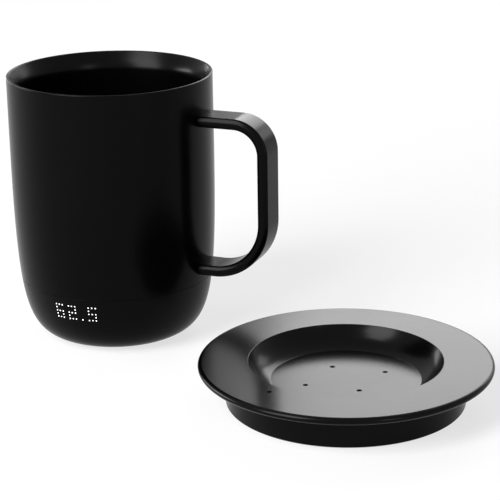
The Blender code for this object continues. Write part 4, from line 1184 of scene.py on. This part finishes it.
    def pins(self) -> None:
        """Spring pins with rounded tips, just below the recess floor."""
        tip = self.floor - self.pin_depth
        low = self.socket_low
        radius = self.pin_radius
        collar, top = self.pin_collar
        shoulder = self.pin_shoulder
        outline = [
            (0, low),
            (collar, low, shoulder / 2),
            (collar, top, shoulder),
            (radius, top + shoulder),
            *soft_corner((radius, tip - radius * self.pin_tip), (radius, tip), (0, tip), self.pin_points),
        ]
        bodies = (Body.PIN_1, Body.PIN_2, Body.PIN_3, Body.PIN_4)
        for index, (body, spot) in enumerate(zip(bodies, self.pin_spots), 1):
            work = self.moved(shifted(turned(outline, False, self.pin_steps), self.spot(*spot)))
            add_piece("spring_pin_" + str(index), work, GOLD, body, body.value)

    def light_pipe(self) -> None:
        """Smoked pipe that ends in the small hole of the flange."""
        low, high = self.light_low, self.height - self.light_sink
        radius = self.light_radius
        outline = [(0, low), (radius, low), (radius, high, self.light_round), (0, high)]
        work = self.moved(shifted(turned(outline, False, self.hole_sides), self.spot(*self.light_spot)))
        add_piece("light_pipe", work, SMOKED, Body.SAUCER, "status_light_pipe")

    def socket(self) -> None:
        """Charging socket, a rounded metal sleeve with its contact tongue."""
        far = self.body_radius - self.socket_inset
        near = far - self.socket_length
        work = self.moved(self.socket_block(0, near, far))
        mouth = self.moved(self.socket_block(-self.sleeve_wall, near + self.sleeve_floor, far + self.margin))
        add_piece("socket_sleeve", work, STEEL, Body.SAUCER, "charge_socket", [mouth])
        width = self.socket_width * self.tongue_share
        size = (self.socket_length - self.tongue_short, width, self.tongue_thickness)
        tongue = self.block(near + self.tongue_inset + self.socket_length / 2, size)
        soften(tongue, tongue.edges[:], self.tongue_round, self.tongue_facets, "EDGES")
        add_piece("socket_tongue", self.moved(swung(tongue, self.socket_angle)), CHIP, Body.SAUCER)


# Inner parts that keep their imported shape.


@dataclass(frozen=True)
class InnerParts:
    """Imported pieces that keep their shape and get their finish."""

    finishes: tuple[tuple[Finish, tuple[str, ...]], ...] = (
        (STEEL, ("handle_washer", "handle_screw", "casing_screw", "chassis_screw", "saucer_screw")),
        (RUBBER, ("seam_seal",)),
        (CASING_PLASTIC, ("chassis", "pin_carrier")),
        (BOARD, ("main_board", "saucer_board", "display_board")),
        (CHIP, ("button_switch", "temperature_sensor")),
        (CELL, ("battery_cell",)),
        (FELT, ("insulation_disc",)),
        (FILM, ("heater_film", "display_flex")),
        (SPREADER, ("heat_spreader",)),
        (WIRE, ("heater_lead", "battery_lead")),
        (DIFFUSER, ("display_diffuser", "status_led")),
    )

    def make(self) -> None:
        """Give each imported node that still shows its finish."""
        for finish, names in self.finishes:
            material = finish.material()
            for name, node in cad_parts.items():
                if name.rstrip("_0123456789") in names and not node.hide_render:
                    node.data.materials.clear()
                    node.data.materials.append(material)
                    LOG.info("%s keeps its shape, in %s", name, finish.name)


# Studio.


def heading_vector(heading: float, rise: float) -> Vector:
    """Direction at an angle from +X and an angle above the floor, both in degrees."""
    turn, tilt = math.radians(heading), math.radians(rise)
    return Vector((math.cos(turn) * math.cos(tilt), math.sin(turn) * math.cos(tilt), math.sin(tilt)))


@dataclass(frozen=True)
class Softbox:
    """Soft lamp aimed at the set."""

    name: str
    bearing: float
    elevation: float
    distance: float
    width: float
    height: float
    radiance: float

    def make(self, target: Vector, forward: float) -> None:
        """Hang the lamp.

        Args:
            target: What it is aimed at.
            forward: The camera's heading, in degrees from +X.
        """
        lamp = bpy.data.lights.new(self.name, "AREA")
        lamp.shape = "RECTANGLE"
        lamp.size = self.width
        lamp.size_y = self.height
        lamp.energy = self.radiance * math.pi * self.width * self.height
        item = placed(self.name, lamp)
        away = heading_vector(forward + self.bearing, self.elevation)
        item.location = target + away * self.distance
        item.rotation_euler = away.to_track_quat("Z", "Y").to_euler()
        item.visible_camera = False


@dataclass
class Studio:
    """Floor, daylight, lamps and camera."""

    target: Vector = field(default_factory=lambda: Vector((0.0, 0.0, 0.04)))
    floor_size: float = 6.0
    floor_drop: float = 0.0001
    floor_colour: Colour = (0.86, 0.86, 0.86)
    shadow_span: Point = (0.40, 0.90)
    near_glow: float = 0.7
    daylight: float = 0.05
    heading: float = 112.16
    pitch: float = 18.485
    roll: float = math.radians(-0.868)
    camera_place: Vector = field(default_factory=lambda: Vector((0.25967, -0.62058, 0.27593)))
    lens: float = 127.35
    sensor_width: float = 36.0
    lamps: tuple[Softbox, ...] = (
        Softbox("back_softbox", -17.0, 27.0, 1.3, 0.68, 0.50, 7.6),
        Softbox("left_softbox", 75.0, 8.0, 1.2, 0.50, 0.30, 18.0),
        Softbox("low_softbox", 45.0, 4.0, 1.3, 0.90, 0.16, 8.0),
        Softbox("tall_softbox", 131.0, 29.0, 1.2, 0.66, 0.84, 13.0),
        Softbox("upper_softbox", 128.0, 54.0, 1.2, 0.40, 0.22, 12.0),
        Softbox("front_fill", -150.0, 14.0, 1.3, 0.26, 0.70, 4.5),
        Softbox("right_softbox", -44.0, 19.0, 1.3, 0.32, 0.35, 3.3),
    )

    def make(self) -> None:
        """Build the studio round the set."""
        self.floor()
        self.world()
        for lamp in self.lamps:
            lamp.make(self.target, self.heading)
        self.camera()
        bpy.context.scene.view_settings.view_transform = "Standard"

    def seen(self, tree: Tree) -> Socket:
        """1 for rays from the camera, or from a mirror or glass.

        Args:
            tree: The node tree that needs it.

        Returns:
            The value's socket.
        """
        path = add_node(tree, "LightPath", {})
        socket = path.outputs["Is Camera Ray"]
        for name in ("Is Glossy Ray", "Is Transmission Ray"):
            node = add_node(tree, "Math", {0: socket, 1: path.outputs[name]})
            node.operation = "MAXIMUM"
            socket = node.outputs[0]
        return socket

    def floor_material(self) -> bpy.types.Material:
        """Pale and shadowed near the set, white far out, and clear from below to show the underside.

        Returns:
            The material.
        """
        material = bpy.data.materials.new("floor")
        material.use_nodes = True
        tree = material.node_tree
        matt = {"Base Color": (*self.floor_colour, 1), "Roughness": 0.9, "Specular IOR Level": 0.0}
        shader = fill(tree, tree.nodes["Principled BSDF"], matt)
        glow = add_node(tree, "Emission", {"Color": (1, 1, 1, 1)})
        place = add_node(tree, "TexCoord", {}).outputs["Object"]
        distance = add_node(tree, "VectorMath", {0: place})
        distance.operation = "LENGTH"
        white = map_range(tree, distance.outputs["Value"], self.shadow_span, (self.near_glow, 1.0))
        share = add_node(tree, "Math", {0: white, 1: self.seen(tree)})
        share.operation = "MULTIPLY"
        blend = (share.outputs[0], shader.outputs[0], glow.outputs[0])
        above = add_node(tree, "MixShader", dict(enumerate(blend)))
        behind = add_node(tree, "NewGeometry", {}).outputs["Backfacing"]
        clear = add_node(tree, "BsdfTransparent", {}).outputs[0]
        both = add_node(tree, "MixShader", {0: behind, 1: above.outputs[0], 2: clear})
        fill(tree, tree.nodes["Material Output"], {"Surface": both.outputs[0]})
        return material

    def floor(self) -> None:
        """Plain floor under the set."""
        work = bmesh.new()
        bmesh.ops.create_grid(work, x_segments=1, y_segments=1, size=self.floor_size / 2)
        floor = solid("floor", shifted(work, (0, 0, -self.floor_drop)))
        floor.data.materials.append(self.floor_material())

    def world(self) -> None:
        """White surroundings that light the set gently."""
        world = bpy.data.worlds.new("studio")
        bpy.context.scene.world = world
        world.use_nodes = True
        tree = world.node_tree
        strength = map_range(tree, self.seen(tree), (0.0, 1.0), (self.daylight, 1.0))
        fill(tree, tree.nodes["Background"], {"Color": (1, 1, 1, 1), "Strength": strength})

    def camera(self) -> None:
        """Camera at the photograph's angle."""
        data = bpy.data.cameras.new("camera")
        data.lens = self.lens
        data.sensor_width = self.sensor_width
        ahead = heading_vector(self.heading, -self.pitch)
        right = heading_vector(self.heading - 90, 0)
        up = right.cross(ahead)
        across = right * math.cos(self.roll) + up * math.sin(self.roll)
        rise = up * math.cos(self.roll) - right * math.sin(self.roll)
        turn = Matrix((across, rise, -ahead)).transposed().to_4x4()
        item = placed("camera", data)
        item.matrix_world = Matrix.Translation(self.camera_place) @ turn
        bpy.context.scene.camera = item


def main() -> None:
    """Dress the whole set and light it."""
    logging.basicConfig(level=logging.INFO, format="%(message)s")
    MugBody().make()
    MugHandle().make()
    MugUnderside().make()
    TemperatureDisplay().make()
    ChargingSaucer().make()
    InnerParts().make()
    Studio().make()


if __name__ == "__main__":
    main()
